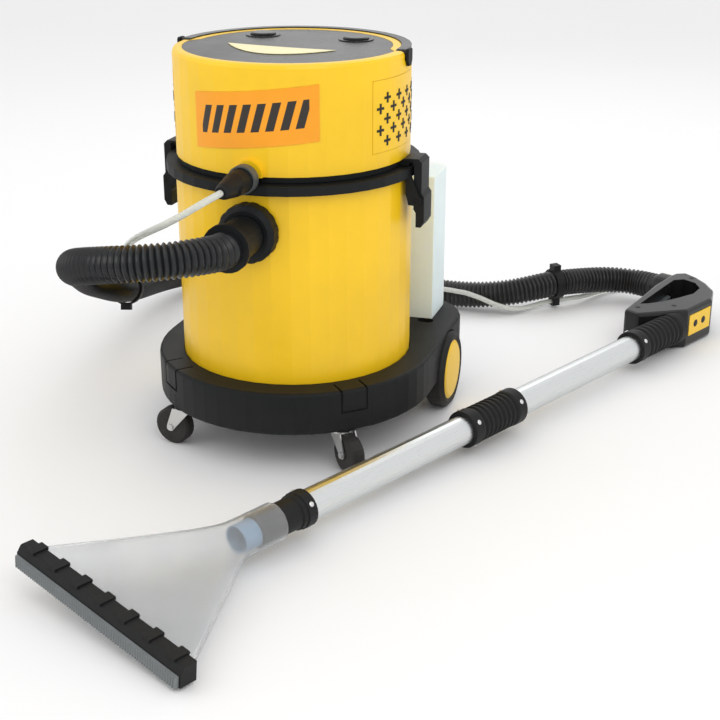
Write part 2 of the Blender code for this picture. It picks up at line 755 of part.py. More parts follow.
def rear_fittings():
    """The tank's feed fitting and the mains lead's gland on the head's rear."""
    feed = [(0, 0.1380), (0.0070, 0.1380), (0.0070, 0.1600), (0, 0.1600)]
    place = (TANK_FEED_X, 0, TANK_FEED_Z)
    finished("tank_feed_fitting", lathe(feed, 20), "black", MACHINE, place, BACKWARD)
    gland = [
        (0.0045, 0.1250),
        (0.0090, 0.1250),
        (0.0090, 0.1400),
        (0.0075, 0.1640),
        (0.0045, 0.1640),
    ]
    finished("cable_gland", lathe(gland, 20), "black", MACHINE, (GLAND_X, 0, GLAND_Z), BACKWARD)


# --- solution tank -------------------------------------------------------------------------

TANK_CAP_X = TANK_FEED_X
TANK_CAP_Y = 0.192


def tank_outline(inset=0.0):
    """The tank's plan: its front follows the drum and its back follows the base."""
    front = 0.1650 + inset
    half = TANK_HALF - inset
    outline = arc(0, 0, front, 125, 55, 13)
    outline += [(half, 0.1380 + inset)]
    outline += arc(half - 0.022, 0.220 - inset - 0.022, 0.022, 0, 90, 6)
    outline += arc(0.022 - half, 0.220 - inset - 0.022, 0.022, 90, 180, 6)
    outline += [(-half, 0.1380 + inset)]
    return outline


def tank():
    """The solution tank, hollow and open at its neck, with a screw cap and a feed tube."""
    low = BASE_TOP_Z + GAP
    body = finished("solution_tank", prism(tank_outline(), low, TANK_TOP_Z), "clear", MACHINE)
    neck_place = (TANK_CAP_X, TANK_CAP_Y, 0)
    join(body, tool(rod(0.0180, TANK_TOP_Z - 0.002, TANK_TOP_Z + 0.014, 24), MACHINE, neck_place))
    inner = prism(tank_outline(TANK_WALL), low + TANK_WALL, TANK_TOP_Z - TANK_WALL)
    cut(body, tool(inner, MACHINE))
    cut(body, tool(rod(0.0150, TANK_TOP_Z - 0.005, TANK_TOP_Z + 0.02, 24), MACHINE, neck_place))
    top = TANK_TOP_Z + 0.014
    cap = [
        (0.0055, top + GAP),
        (0.0185, top + GAP),
        (0.0185, TANK_TOP_Z + 0.0015),
        (0.0215, TANK_TOP_Z + 0.0015),
        (0.0215, top + 0.0035),
        (0.0055, top + 0.0035),
    ]
    finished("tank_cap", lathe(cap, 24), "black", MACHINE, neck_place)
    route = [
        (TANK_CAP_X, TANK_CAP_Y, 0.2800),
        (TANK_CAP_X, TANK_CAP_Y, 0.3300),
        (TANK_CAP_X, TANK_CAP_Y, 0.3700),
        (TANK_CAP_X, TANK_CAP_Y - 0.008, 0.3910),
        (TANK_CAP_X, TANK_CAP_Y - 0.022, 0.4000),
        (TANK_CAP_X, 0.1603, 0.4000),
    ]
    cord("feed_tube", smooth_route([machine_point(*p) for p in route], 18), 0.0045, 2, "clear")


# --- hose and spray tube -------------------------------------------------------------------

HOSE_ROUTE = [
    (0.000, -0.2270, INLET_Z),
    (0.000, -0.2360, INLET_Z),
    (-0.010, -0.258, 0.3055),
    (-0.038, -0.287, 0.3055),
    (-0.075, -0.303, 0.3030),
    (-0.112, -0.304, 0.298),
    (-0.148, -0.290, 0.289),
    (-0.180, -0.256, 0.274),
    (-0.206, -0.200, 0.250),
    (-0.240, -0.121, 0.212),
    (-0.280, -0.015, 0.166),
    (-0.312, 0.085, 0.124),
    (-0.343, 0.190, 0.087),
    (-0.366, 0.290, 0.060),
    (-0.372, 0.375, 0.042),
    (-0.350, 0.455, 0.030),
    (-0.285, 0.512, 0.0245),
    (-0.190, 0.526, 0.0240),
    (-0.070, 0.510, 0.0240),
    (0.040, 0.493, 0.0240),
    (0.125, 0.490, 0.0260),
    (0.190, 0.505, 0.0330),
    (0.246, 0.541, 0.0405),
    (0.290, 0.580, 0.0385),
    (0.336, 0.608, 0.0360),
]
# Each hose clip's place along the hose, and whether its tube runs under (-1) or over (1) it.
CLIPS = {"left": (0.3836, 1), "right": (0.8904, -1)}


def clip_frame(line, name):
    """Where a hose clip sits: its centre, the hose's direction and the side of the tube."""
    share, up = CLIPS[name]
    index = int(round(share * (len(line) - 1)))
    centre = Vector(line[index])
    along = Vector(line[index + 1] - line[index - 1]).normalized()
    side = Vector((0, 0, up))
    side = (side - along * side.dot(along)).normalized()
    return centre, along, side


TUBE_OFF = 0.0300


def hose_clip(name, line):
    """A clip that rings the hose and holds the spray tube in one of its two lugs."""
    centre, along, side = clip_frame(line, name)
    other = along.cross(side)
    basis = Matrix((side, other, along)).transposed()
    turn = basis.to_euler()
    body = finished(f"hose_clip_{name}", pipe(HOSE_R + 0.0038, HOSE_R + 0.0010, -0.007, 0.007, 20), "black", None, centre, turn)
    for reach in ((HOSE_R + 0.0025, TUBE_OFF + 0.0065), (-TUBE_OFF - 0.0030, -HOSE_R - 0.0025)):
        lug = block(*reach, -0.0075, 0.0075, -0.0065, 0.0065)
        join(body, tool(lug, None, centre, turn))
    hole = rod(TUBE_R + 0.0012, -0.02, 0.02, 12)
    cut(body, tool(hole, None, centre + side * TUBE_OFF, turn))
    return body


def hose_set():
    """The suction hose on its route, its two clips and the clear spray tube beside it."""
    route = [machine_point(*p) for p in HOSE_ROUTE]
    for reach in (0.040, 0.018, 0.010, 0.0012):
        route.append(wand_point(HOSE_PORT_X - PORT_LENGTH - reach, HOSE_PORT_Y, -0.03 * reach))
    line = straight_ended(route, 74)
    cord("suction_hose", line, HOSE_R, 2, "black")
    hose_clip("left", line)
    hose_clip("right", line)
    stops = [machine_point(*p) for p in TUBE_ROUTE_NEAR]
    stops += through_clip(line, "left")
    stops += [machine_point(*p) for p in TUBE_ROUTE_FLOOR]
    stops += through_clip(line, "right")
    stops += [machine_point(*p) for p in TUBE_ROUTE_FAR]
    stops += [wand_point(*p) for p in TUBE_ROUTE_HANDLE]
    cord("spray_tube", straight_ended(stops, 80), TUBE_R, 2, "clear")


def through_clip(line, name):
    """Three points that lead the spray tube straight through a clip's lug."""
    centre, along, side = clip_frame(line, name)
    middle = centre + side * TUBE_OFF
    return [tuple(middle - along * 0.014), tuple(middle), tuple(middle + along * 0.014)]


TUBE_ROUTE_NEAR = [
    (0.000, -0.2345, SPRAY_Z),
    (0.000, -0.2400, SPRAY_Z),
    (-0.010, -0.252, 0.3665),
    (-0.045, -0.263, 0.345),
    (-0.085, -0.257, 0.3240),
    (-0.118, -0.229, 0.303),
    (-0.155, -0.175, 0.276),
    (-0.195, -0.105, 0.244),
    (-0.235, -0.030, 0.208),
    (-0.272, 0.045, 0.173),
]
TUBE_ROUTE_FLOOR = [
    (-0.3500, 0.290, 0.0920),
    (-0.3480, 0.375, 0.0740),
    (-0.3200, 0.430, 0.0560),
    (-0.2680, 0.462, 0.0300),
    (-0.2000, 0.476, 0.0080),
    (-0.1200, 0.480, 0.0055),
    (-0.0400, 0.462, 0.0160),
    (0.0200, 0.467, 0.0370),
    (0.0850, 0.463, 0.0395),
    (0.1300, 0.4635, 0.0350),
    (0.1650, 0.4670, 0.0220),
    (0.1950, 0.4820, 0.0110),
]
TUBE_ROUTE_FAR = [
    (0.292, 0.590, 0.0080),
    (0.320, 0.638, 0.0060),
    (0.360, 0.668, 0.0050),
]
HOSE_PORT_X = -0.090
HOSE_PORT_Y = 0.930
PORT_LENGTH = 0.026
TUBE_ROUTE_HANDLE = [
    (-0.1200, 0.9900, -0.0240),
    (-0.0820, 0.9880, -0.0170),
    (-0.0690, 0.9700, -0.0120),
    (-0.0667, 0.9600, -0.0120),
    (-0.0665, 0.9526, -0.0120),
]


# --- wand ----------------------------------------------------------------------------------


def along_wand(name, profile, finish, segments=24):
    """A turned piece on the wand's axis; its profile is (radius, distance along the wand)."""
    return finished(name, lathe(profile, segments), finish, WAND, (0, 0, 0), BACKWARD)


def wand_tubes():
    """The two aluminium tubes with the ribbed sleeves that join them to each other and the grip."""
    bore = WAND_R - WAND_WALL
    for name, (start, end) in (("lower_tube", LOWER_TUBE), ("upper_tube", UPPER_TUBE)):
        along_wand(name, [(WAND_R, end), (WAND_R, start), (bore, start), (bore, end)], "aluminium")
    seat = WAND_R + GAP
    start, end = LOWER_TUBE[1] - ENGAGED, UPPER_TUBE[0] + ENGAGED
    middle = [(seat, start), (SLEEVE_R, start), (SLEEVE_R, start + 0.018)]
    middle += [(SLEEVE_R - 0.0012, start + 0.020), (SLEEVE_R - 0.0012, end - 0.020)]
    middle += [(SLEEVE_R, end - 0.018), (SLEEVE_R, end), (seat, end), (seat, UPPER_TUBE[0] - GAP)]
    middle += [(bore, UPPER_TUBE[0] - GAP), (bore, LOWER_TUBE[1] + GAP), (seat, LOWER_TUBE[1] + GAP)]
    along_wand("middle_sleeve", middle, "black", 24)
    start, end = UPPER_TUBE[1] - ENGAGED, HANDLE_START - GAP
    upper = [(seat, start), (SLEEVE_R, start), (SLEEVE_R, start + 0.018)]
    upper += [(SLEEVE_R - 0.0012, start + 0.020), (SLEEVE_R - 0.0012, end - 0.006), (SLEEVE_R, end - 0.004)]
    upper += [(SLEEVE_R, end), (bore, end), (bore, UPPER_TUBE[1] + GAP), (seat, UPPER_TUBE[1] + GAP)]
    along_wand("upper_sleeve", upper, "black", 24)


HANDLE_START = 0.784
GRIP_OUTLINE = [
    (-0.0600, 0.7326),
    (-0.0320, 0.7304),
    (0.0060, 0.7850),
    (0.0145, 0.7960),
    (0.0145, 0.8680),
    (-0.0060, 0.9080),
    (-0.0330, 0.9320),
    (-0.0600, 0.9480),
    (-0.0840, 0.9560),
    (-0.0960, 0.9420),
    (-0.0965, 0.9280),
    (-0.0890, 0.8682),
    (-0.0745, 0.8037),
]
GRIP_HOLE = [
    (-0.0560, 0.7720),
    (-0.0480, 0.7800),
    (-0.0350, 0.8050),
    (-0.0270, 0.8360),
    (-0.0200, 0.8700),
    (-0.0260, 0.9000),
    (-0.0450, 0.9180),
    (-0.0680, 0.9220),
    (-0.0780, 0.9080),
    (-0.0740, 0.8800),
    (-0.0660, 0.8300),
]


def wand_handle():
    """The grip: a flat D with a finger opening, a port for the hose and a seat for its panel."""
    shape = prism(GRIP_OUTLINE, HANDLE_LOW, HANDLE_HIGH)
    body = finished("wand_handle", shape, "black", WAND)
    rounded(body, 0.005, 2)
    cut(body, tool(prism(GRIP_HOLE, -0.06, 0.06), WAND))
    bore = rod(SLEEVE_R + 0.0016, 0.70, HANDLE_START, 28)
    cut(body, tool(bore, WAND, (0, 0, 0), BACKWARD))
    port = rod(0.0245, -PORT_LENGTH, 0.012, 28)
    join(body, tool(port, WAND, (HOSE_PORT_X, HOSE_PORT_Y, 0), SIDEWAYS))
    seat = block(0.0121, 0.0400, 0.8010, 0.8640, -0.0170, 0.0170)
    cut(body, tool(seat, WAND))
    slot = [(-0.0745, 0.8260), (-0.0600, 0.8260), (-0.0600, 0.8940), (-0.0862, 0.8940)]
    cut(body, tool(prism(slot, -0.0075, 0.0075), WAND))
    panel = block(0.0124, 0.0153, 0.8015, 0.8635, -0.0165, 0.0165)
    finished("handle_panel", panel, "yellow", WAND)


TRIGGER_PIVOT = (-0.0700, 0.832)


def trigger():
    """The spray trigger on the grip's inner side; it swings about its rounded front end."""
    outline = arc(0, 0, 0.0030, 150, 300, 6)
    outline += [(0.0112, 0.0100), (0.0022, 0.0520), (-0.0085, 0.0560), (-0.0045, 0.0300)]
    finished("spray_trigger", prism(outline, -0.0068, 0.0068), "grey", WAND, (*TRIGGER_PIVOT, 0))


NOZZLE_ROLL = math.radians(6.5)
NECK_MOUTH = -0.063
BAR_Y = -0.293
BAR_Z = -0.005
BAR_HALF = 0.132


def lower_adaptor():
    """The stepped black adaptor between the lower tube and the nozzle's neck."""
    seat = WAND_R + GAP
    end = LOWER_TUBE[0]
    profile = [
        (seat, -0.0155),
        (0.0225, -0.0155),
        (0.0225, -0.0285),
        (0.0212, -0.0290),
        (0.0212, -0.0350),
        (0.0195, -0.0360),
        (0.0195, -0.0950),
        (0.0165, -0.0950),
        (0.0165, end - GAP),
        (seat, end - GAP),
    ]
    along_wand("lower_adaptor", profile, "black", 24)


def nozzle():
    """The translucent fan nozzle: a hollow shell from a round neck to a wide flat mouth."""
    carrier = empty("nozzle_axis", (0, 0, 0), (0, NOZZLE_ROLL, 0))
    carrier.parent = WAND
    stations = [
        (NECK_MOUTH, 0.0230, 0.0230, 0.0, 2.0),
        (-0.1050, 0.0230, 0.0230, 0.0, 2.0),
        (-0.1250, 0.0240, 0.0225, -0.0005, 2.1),
        (-0.1400, 0.0320, 0.0205, -0.0010, 2.4),
        (-0.1750, 0.0545, 0.0165, -0.0020, 3.0),
        (-0.2250, 0.0850, 0.0130, -0.0035, 4.0),
        (BAR_Y + 0.0040, 0.1240, 0.0095, BAR_Z, 6.0),
    ]
    wall = 0.0022
    outer = nozzle_tube(stations, 0.0)
    shell = finished("nozzle_shell", outer, "clear", carrier)
    cut(shell, tool(nozzle_tube(stations, wall), carrier))
    half = BAR_HALF
    low, high = BAR_Z - 0.0115, BAR_Z + 0.0115
    flat = [
        (BAR_Y - 0.0165, low),
        (BAR_Y - 0.0165, high - 0.0085),
        (BAR_Y - 0.0120, high - 0.0010),
        (BAR_Y - 0.0100, high),
        (BAR_Y + 0.0035, high),
        (BAR_Y + 0.0035, low),
    ]
    turn = (math.radians(90), 0, math.radians(90))
    bar = finished("nozzle_bar", prism(flat, -half, half), "black", carrier, (0, 0, 0), turn)
    cut(bar, tool(nozzle_tube(stations, -0.0004), carrier))
    slit = block(0.008 - half, half - 0.008, BAR_Y - 0.0120, BAR_Y + 0.0010, low - 0.01, BAR_Z - 0.004)
    cut(bar, tool(slit, carrier))
    for k in range(8):
        middle = (k + 0.5) / 8 * 2 * half - half
        tab = block(middle - 0.0090, middle + 0.0090, BAR_Y - 0.0145, BAR_Y - 0.0122, low - 0.0035, low + 0.001)
        join(bar, tool(tab, carrier))
    strip = block(0.002 - half, half - 0.002, BAR_Y - 0.0205, BAR_Y - 0.0168, low, high - 0.0095)
    finished("brush_strip", strip, "grey", carrier)


def nozzle_tube(stations, wall):
    """A loft of rounded sections (y, half width, half height, z, squareness) less a wall."""
    sides = 24
    points, faces = [], []
    for k, (y, wide, tall, z, power) in enumerate(stations):
        push = 0.0
        if wall and k == 0:
            push = 0.004
        if wall and k == len(stations) - 1:
            push = -0.004
        for i in range(sides):
            angle = 2 * math.pi * i / sides
            c, s = math.cos(angle), math.sin(angle)
            x = (wide - wall) * math.copysign(abs(c) ** (2 / power), c)
            up = (tall - wall) * math.copysign(abs(s) ** (2 / power), s)
            points.append((x, y + push, z + up))
    for k in range(len(stations) - 1):
        for i in range(sides):
            j = (i + 1) % sides
            faces.append([k * sides + i, k * sides + j, (k + 1) * sides + j, (k + 1) * sides + i])
    last = (len(stations) - 1) * sides
    faces.append(list(range(sides)))
    faces.append([last + i for i in range(sides)])
    return mesh_from(points, faces)


base_tray()
caster(-1, "left", 172.5)
caster(1, "right", -40)
finished(
    "rear_axle",
    rod(AXLE_R, 0.0085 - REAR_TRACK_X, REAR_TRACK_X - 0.0085, 20),
    "steel",
    MACHINE,
    (0, REAR_WHEEL_Y, REAR_WHEEL_R),
    SIDEWAYS,
)
rear_wheel(-1, "left")
rear_wheel(1, "right")
drum()
drum_ring()
latch(-1, "left")
latch(1, "right")
inlet()
head_shell()
head_base()
top_panel()
carry_handle()
motor_set()
spray_outlet()
rear_fittings()
tank()
hose_set()
wand_tubes()
wand_handle()
trigger()
lower_adaptor()
nozzle()
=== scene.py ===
"""A spray extraction carpet cleaner: its finishes and fine pieces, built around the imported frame.

Lengths are in metres. The machine's drum stands at MACHINE, and the wand's own frame starts at its
lower end: x across it, y along it and z up.
"""

import math

import bmesh
import bpy
import numpy as np
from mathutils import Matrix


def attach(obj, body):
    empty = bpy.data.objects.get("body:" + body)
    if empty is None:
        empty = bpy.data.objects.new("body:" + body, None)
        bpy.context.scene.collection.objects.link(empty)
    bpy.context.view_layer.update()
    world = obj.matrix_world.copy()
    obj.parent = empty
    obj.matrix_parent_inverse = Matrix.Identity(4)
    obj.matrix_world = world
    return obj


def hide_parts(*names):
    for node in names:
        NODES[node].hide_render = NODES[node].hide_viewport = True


bl_info = {
    "name": "Carpet Cleaner Finishes",
    "version": (1, 0, 0),
    "blender": (4, 5, 0),
    "location": "3D View > Sidebar > Cleaner",
    "description": "Finishes and fine pieces of a spray extraction carpet cleaner",
    "category": "Object",
}

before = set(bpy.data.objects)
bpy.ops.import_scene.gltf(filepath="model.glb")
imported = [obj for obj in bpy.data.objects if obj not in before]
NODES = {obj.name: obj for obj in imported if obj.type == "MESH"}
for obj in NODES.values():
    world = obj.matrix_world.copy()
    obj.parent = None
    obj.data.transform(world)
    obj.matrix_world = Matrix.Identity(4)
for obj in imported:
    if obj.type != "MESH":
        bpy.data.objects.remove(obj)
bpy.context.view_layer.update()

# Where things are, repeated from the part's own source.
MACHINE = np.array([-0.1585, 0.0082, 0.0])
WAND_ORIGIN = MACHINE + np.array([0.129, -0.296, 0.035])
WAND_HEADING = math.radians(-25)
NOZZLE_ROLL = math.radians(6.5)
INLET_Z = 0.3045
SPRAY_Z = 0.372
HEAD_R = 0.148
WAND_R = 0.019
HOSE_R = 0.0215
TUBE_R = 0.004
TUBE_OFF = 0.0300
HANDLE_HIGH = 0.0270
HOSE_PORT = (-0.116, 0.930)

HOSE_ROUTE = [
    (0.000, -0.2270, INLET_Z),
    (0.000, -0.2360, INLET_Z),
    (-0.010, -0.258, 0.3055),
    (-0.038, -0.287, 0.3055),
    (-0.075, -0.303, 0.3030),
    (-0.112, -0.304, 0.298),
    (-0.148, -0.290, 0.289),
    (-0.180, -0.256, 0.274),
    (-0.206, -0.200, 0.250),
    (-0.240, -0.121, 0.212),
    (-0.280, -0.015, 0.166),
    (-0.312, 0.085, 0.124),
    (-0.343, 0.190, 0.087),
    (-0.366, 0.290, 0.060),
    (-0.372, 0.375, 0.042),
    (-0.350, 0.455, 0.030),
    (-0.285, 0.512, 0.0245),
    (-0.190, 0.526, 0.0240),
    (-0.070, 0.510, 0.0240),
    (0.040, 0.493, 0.0240),
    (0.125, 0.490, 0.0260),
    (0.190, 0.505, 0.0330),
    (0.246, 0.541, 0.0405),
    (0.290, 0.580, 0.0385),
    (0.336, 0.608, 0.0360),
]
CLIPS = {"left": (0.3836, 1), "right": (0.8904, -1)}
TUBE_ROUTE_NEAR = [
    (0.000, -0.2345, SPRAY_Z),
    (0.000, -0.2400, SPRAY_Z),
    (-0.010, -0.252, 0.3665),
    (-0.045, -0.263, 0.345),
    (-0.085, -0.257, 0.3240),
    (-0.118, -0.229, 0.303),
    (-0.155, -0.175, 0.276),
    (-0.195, -0.105, 0.244),
    (-0.235, -0.030, 0.208),
    (-0.272, 0.045, 0.173),
]
TUBE_ROUTE_FLOOR = [
    (-0.3500, 0.290, 0.0920),
    (-0.3480, 0.375, 0.0740),
    (-0.3200, 0.430, 0.0560),
    (-0.2680, 0.462, 0.0300),
    (-0.2000, 0.476, 0.0080),
    (-0.1200, 0.480, 0.0055),
    (-0.0400, 0.462, 0.0160),
    (0.0200, 0.467, 0.0370),
    (0.0850, 0.463, 0.0395),
    (0.1300, 0.4635, 0.0350),
    (0.1650, 0.4670, 0.0220),
    (0.1950, 0.4820, 0.0110),
]
TUBE_ROUTE_FAR = [
    (0.292, 0.590, 0.0080),
    (0.320, 0.638, 0.0060),
    (0.360, 0.668, 0.0050),
]
TUBE_ROUTE_HANDLE = [
    (-0.1200, 0.9900, -0.0240),
    (-0.0820, 0.9880, -0.0170),
    (-0.0690, 0.9700, -0.0120),
    (-0.0667, 0.9600, -0.0120),
    (-0.0665, 0.9526, -0.0120),
]
FEED_ROUTE = [
    (-0.050, 0.192, 0.2800),
    (-0.050, 0.192, 0.3300),
    (-0.050, 0.192, 0.3700),
    (-0.050, 0.184, 0.3910),
    (-0.050, 0.170, 0.4000),
    (-0.050, 0.1603, 0.4000),
]
MIDDLE_SLEEVE = (0.269, 0.376)
UPPER_SLEEVE = (0.660, 0.7837)
# The fan nozzle's sections: place, half width, half height, middle height, squareness.
NOZZLE_SECTIONS = [
    (-0.0630, 0.0230, 0.0230, 0.0, 2.0),
    (-0.1050, 0.0230, 0.0230, 0.0, 2.0),
    (-0.1250, 0.0240, 0.0225, -0.0005, 2.1),
    (-0.1400, 0.0320, 0.0205, -0.0010, 2.4),
    (-0.1750, 0.0545, 0.0165, -0.0020, 3.0),
    (-0.2250, 0.0850, 0.0130, -0.0035, 4.0),
    (-0.2890, 0.1240, 0.0095, -0.0050, 6.0),
]
NOZZLE_WALL = 0.0022
BAR_Y = -0.293
BAR_HALF = 0.132
BAR_Z = -0.005
FEED_R = 0.0045
# The label: its lower edge at its left end, and how far that edge climbs to the right.
LABEL_LOW = 0.397
LABEL_CLIMB = 0.016
# The vent marks, painted shade in the slots: the rows' heights, and the angles in a full row and in a shifted
# one.
MARK_ROWS = [0.4540, 0.4420, 0.4290, 0.4160, 0.4025]
MARK_ANGLES = (range(-20, 21, 10), range(-25, 26, 10))


# --- sizes and colours ---------------------------------------------------------------------


class CLEANER_PG_hose(bpy.types.PropertyGroup):
    """The suction hose and the two clear tubes."""

    rib_pitch: bpy.props.FloatProperty(
        name="Rib pitch", description="Distance between hose ribs", default=0.0068, min=0.003, unit="LENGTH"
    )
    rib_depth: bpy.props.FloatProperty(
        name="Rib depth", description="How deep the grooves are", default=0.0032, min=0.0, unit="LENGTH"
    )
    sides: bpy.props.IntProperty(name="Sides", description="Sides round the hose", default=32, min=12)


class CLEANER_PG_sleeves(bpy.types.PropertyGroup):
    """The ribbed sleeves on the wand."""

    ribs: bpy.props.IntProperty(name="Ribs", description="Ribs on each sleeve", default=8, min=2)
    radius: bpy.props.FloatProperty(
        name="Radius", description="Outer radius of a sleeve", default=0.0240, min=0.02, unit="LENGTH"
    )
    depth: bpy.props.FloatProperty(
        name="Groove depth", description="Depth between ribs", default=0.0026, min=0.0, unit="LENGTH"
    )


class CLEANER_PG_nozzle(bpy.types.PropertyGroup):
    """The fan nozzle and its brush strip."""

    teeth: bpy.props.IntProperty(name="Teeth", description="Ridges on the strip", default=70, min=10)
    tooth_depth: bpy.props.FloatProperty(
        name="Tooth depth", description="Depth of a ridge", default=0.0016, min=0.0, unit="LENGTH"
    )
    tabs: bpy.props.IntProperty(name="Tabs", description="Clamp tabs along the bar", default=7, min=1)


class CLEANER_PG_head(bpy.types.PropertyGroup):
    """The plain label and the vent marks, painted slot shade, on the head."""

    label_start: bpy.props.FloatProperty(
        name="Label start", description="Angle of the left edge", default=math.radians(-120), subtype="ANGLE"
    )
    label_end: bpy.props.FloatProperty(
        name="Label end", description="Angle of the right edge", default=math.radians(-57.5), subtype="ANGLE"
    )
    label_height: bpy.props.FloatProperty(
        name="Label height", description="Height of the label", default=0.066, unit="LENGTH"
    )
    mark_size: bpy.props.FloatProperty(
        name="Mark size", description="Length of a vent slot from arm to arm", default=0.0125, unit="LENGTH"
    )
    mark_width: bpy.props.FloatProperty(
        name="Mark width", description="Width of a vent slot", default=0.0030, unit="LENGTH"
    )


class CLEANER_PG_colours(bpy.types.PropertyGroup):
    """The colours of the machine's plastics."""

    yellow: bpy.props.FloatVectorProperty(
        name="Yellow",
        description="Drum and head",
        default=(0.93, 0.57, 0.004),
        subtype="COLOR",
        size=3,
    )
    black: bpy.props.FloatVectorProperty(
        name="Black",
        description="Base, rings and latches",
        default=(0.0085, 0.0095, 0.0100),
        subtype="COLOR",
        size=3,
    )
    grey: bpy.props.FloatVectorProperty(
        name="Grey",
        description="Strip, collar and trigger",
        default=(0.075, 0.085, 0.090),
        subtype="COLOR",
        size=3,
    )
    amber: bpy.props.FloatVectorProperty(
        name="Amber",
        description="Ground of the plain label",
        default=(0.95, 0.36, 0.003),
        subtype="COLOR",
        size=3,
    )


class CLEANER_PG_stage(bpy.types.PropertyGroup):
    """The floor, the light and the camera."""

    floor: bpy.props.FloatVectorProperty(
        name="Floor",
        description="Colour of the floor",
        default=(0.90, 0.90, 0.90),
        subtype="COLOR",
        size=3,
    )
    surround: bpy.props.FloatProperty(
        name="Surround", description="Strength of the even light", default=0.95, min=0.0
    )
    key: bpy.props.FloatProperty(name="Key light", description="Power of the main light", default=14.0, min=0.0)
    lens: bpy.props.FloatProperty(name="Lens", description="Focal length in millimetres", default=68.53, min=10.0)


class CLEANER_PG_settings(bpy.types.PropertyGroup):
    """All the settings together."""

    hose: bpy.props.PointerProperty(type=CLEANER_PG_hose, name="Hose", description="Hose and tubes")
    sleeves: bpy.props.PointerProperty(type=CLEANER_PG_sleeves, name="Sleeves", description="Wand sleeves")
    nozzle: bpy.props.PointerProperty(type=CLEANER_PG_nozzle, name="Nozzle", description="Fan nozzle")
    head: bpy.props.PointerProperty(type=CLEANER_PG_head, name="Head", description="Label and vents")
    colours: bpy.props.PointerProperty(type=CLEANER_PG_colours, name="Colours", description="Plastics")
    stage: bpy.props.PointerProperty(type=CLEANER_PG_stage, name="Stage", description="Floor and light")


# --- surfaces ------------------------------------------------------------------------------


def from_machine(points):
    """Points of the machine's frame in the row frame: each is moved by MACHINE."""
    return np.asarray(points, float) + MACHINE


def from_wand(points):
    """Points of the wand's frame in the row frame: turned about z by the heading, then moved."""
    points = np.asarray(points, float)
    c, s = math.cos(WAND_HEADING), math.sin(WAND_HEADING)
    turn = np.array([[c, -s, 0], [s, c, 0], [0, 0, 1]])
    return points @ turn.T + WAND_ORIGIN


def from_nozzle(points):
    """Points of the nozzle's frame in the row frame: rolled about the wand's own axis first."""
    c, s = math.cos(NOZZLE_ROLL), math.sin(NOZZLE_ROLL)
    roll = np.array([[c, 0, s], [0, 1, 0], [-s, 0, c]])
    return from_wand(np.asarray(points, float) @ roll.T)


def grid_faces(rows, columns, wrap_rows, wrap_columns):
    """Quads between neighbouring grid points; a wrapped direction joins its last to its first."""
    i = np.arange(rows if wrap_rows else rows - 1)
    j = np.arange(columns if wrap_columns else columns - 1)
    i, j = (a.ravel() for a in np.meshgrid(i, j, indexing="ij"))
    right, below = (j + 1) % columns, (i + 1) % rows
    i, below = i * columns, below * columns
    return np.stack([i + j, i + right, below + right, below + j], 1)


def piece(name, points, faces, finish, body, crease=35.0):
    """A closed mesh from points and quads: doubles merged, faces outward, smooth below a crease."""
    mesh = bpy.data.meshes.new(name)
    mesh.from_pydata(np.asarray(points, float).tolist(), [], np.asarray(faces).tolist())
    made = bpy.data.objects.new(name, mesh)
    bpy.context.scene.collection.objects.link(made)
    shape = bmesh.new()
    shape.from_mesh(mesh)
    bmesh.ops.remove_doubles(shape, verts=shape.verts, dist=1e-6)
    bmesh.ops.recalc_face_normals(shape, faces=shape.faces)
    shape.to_mesh(mesh)
    shape.free()
    mesh.shade_smooth()
    mesh.set_sharp_from_angle(angle=math.radians(crease))
    mesh.materials.append(finish)
    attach(made, body)
    return made


def smooth_route(points, count):
    """Even points on the natural cubic through a route: each stretch is a cubic in arc length."""
    route = np.array(points, float)
    along = np.concatenate([[0], np.cumsum(np.linalg.norm(np.diff(route, axis=0), axis=1))])
    gaps = np.diff(along)
    size = len(route)
    system = np.eye(size)
    inner = np.arange(1, size - 1)
    system[inner, inner - 1] = gaps[:-1]
    system[inner, inner] = 2 * (gaps[:-1] + gaps[1:])
    system[inner, inner + 1] = gaps[1:]
    slopes = np.diff(route, axis=0) / gaps[:, None]
    right = np.zeros((size, 3))
    right[1:-1] = 6 * np.diff(slopes, axis=0)
    bend = np.linalg.solve(system, right)
    at = np.linspace(0, along[-1], count)
    k = np.clip(np.searchsorted(along, at, side="right") - 1, 0, size - 2)
    h = gaps[k][:, None]
    a = (along[k + 1] - at)[:, None]
    b = (at - along[k])[:, None]
    line = (bend[k] * a**3 + bend[k + 1] * b**3) / (6 * h)
    return line + (route[k] / h - bend[k] * h / 6) * a + (route[k + 1] / h - bend[k + 1] * h / 6) * b


def evenly(line, step):
    """The same line with a point every step metres of its length."""
    along = np.concatenate([[0], np.cumsum(np.linalg.norm(np.diff(line, axis=0), axis=1))])
    at = np.linspace(0, along[-1], max(int(round(along[-1] / step)), 8) + 1)
    return np.stack([np.interp(at, along, line[:, k]) for k in range(3)], 1), at


def tube(name, line, radius, sides, finish, body, reference=(0, 0, 1)):
    """A closed tube: p(s, a) = line(s) + radius(s) (cos a . across + sin a . up).

    across is the tangent crossed with the reference direction, and up completes the frame. Each end
    closes to the line's own end point.
    """
    tangent = np.gradient(line, axis=0)
    tangent /= np.linalg.norm(tangent, axis=1)[:, None]
    across = np.cross(tangent, np.asarray(reference, float))
    across /= np.linalg.norm(across, axis=1)[:, None]
    up = np.cross(across, tangent)
    angle = np.linspace(0, 2 * np.pi, sides, endpoint=False)
    radius = np.concatenate([[0.0], np.broadcast_to(radius, len(line)), [0.0]])
    pick = np.concatenate([[0], np.arange(len(line)), [len(line) - 1]])
    ring = np.cos(angle)[:, None] * across[pick][:, None] + np.sin(angle)[:, None] * up[pick][:, None]
    points = line[pick][:, None] + radius[:, None, None] * ring
    faces = grid_faces(len(pick), sides, False, True)
    return piece(name, points.reshape(-1, 3), faces, finish, body)


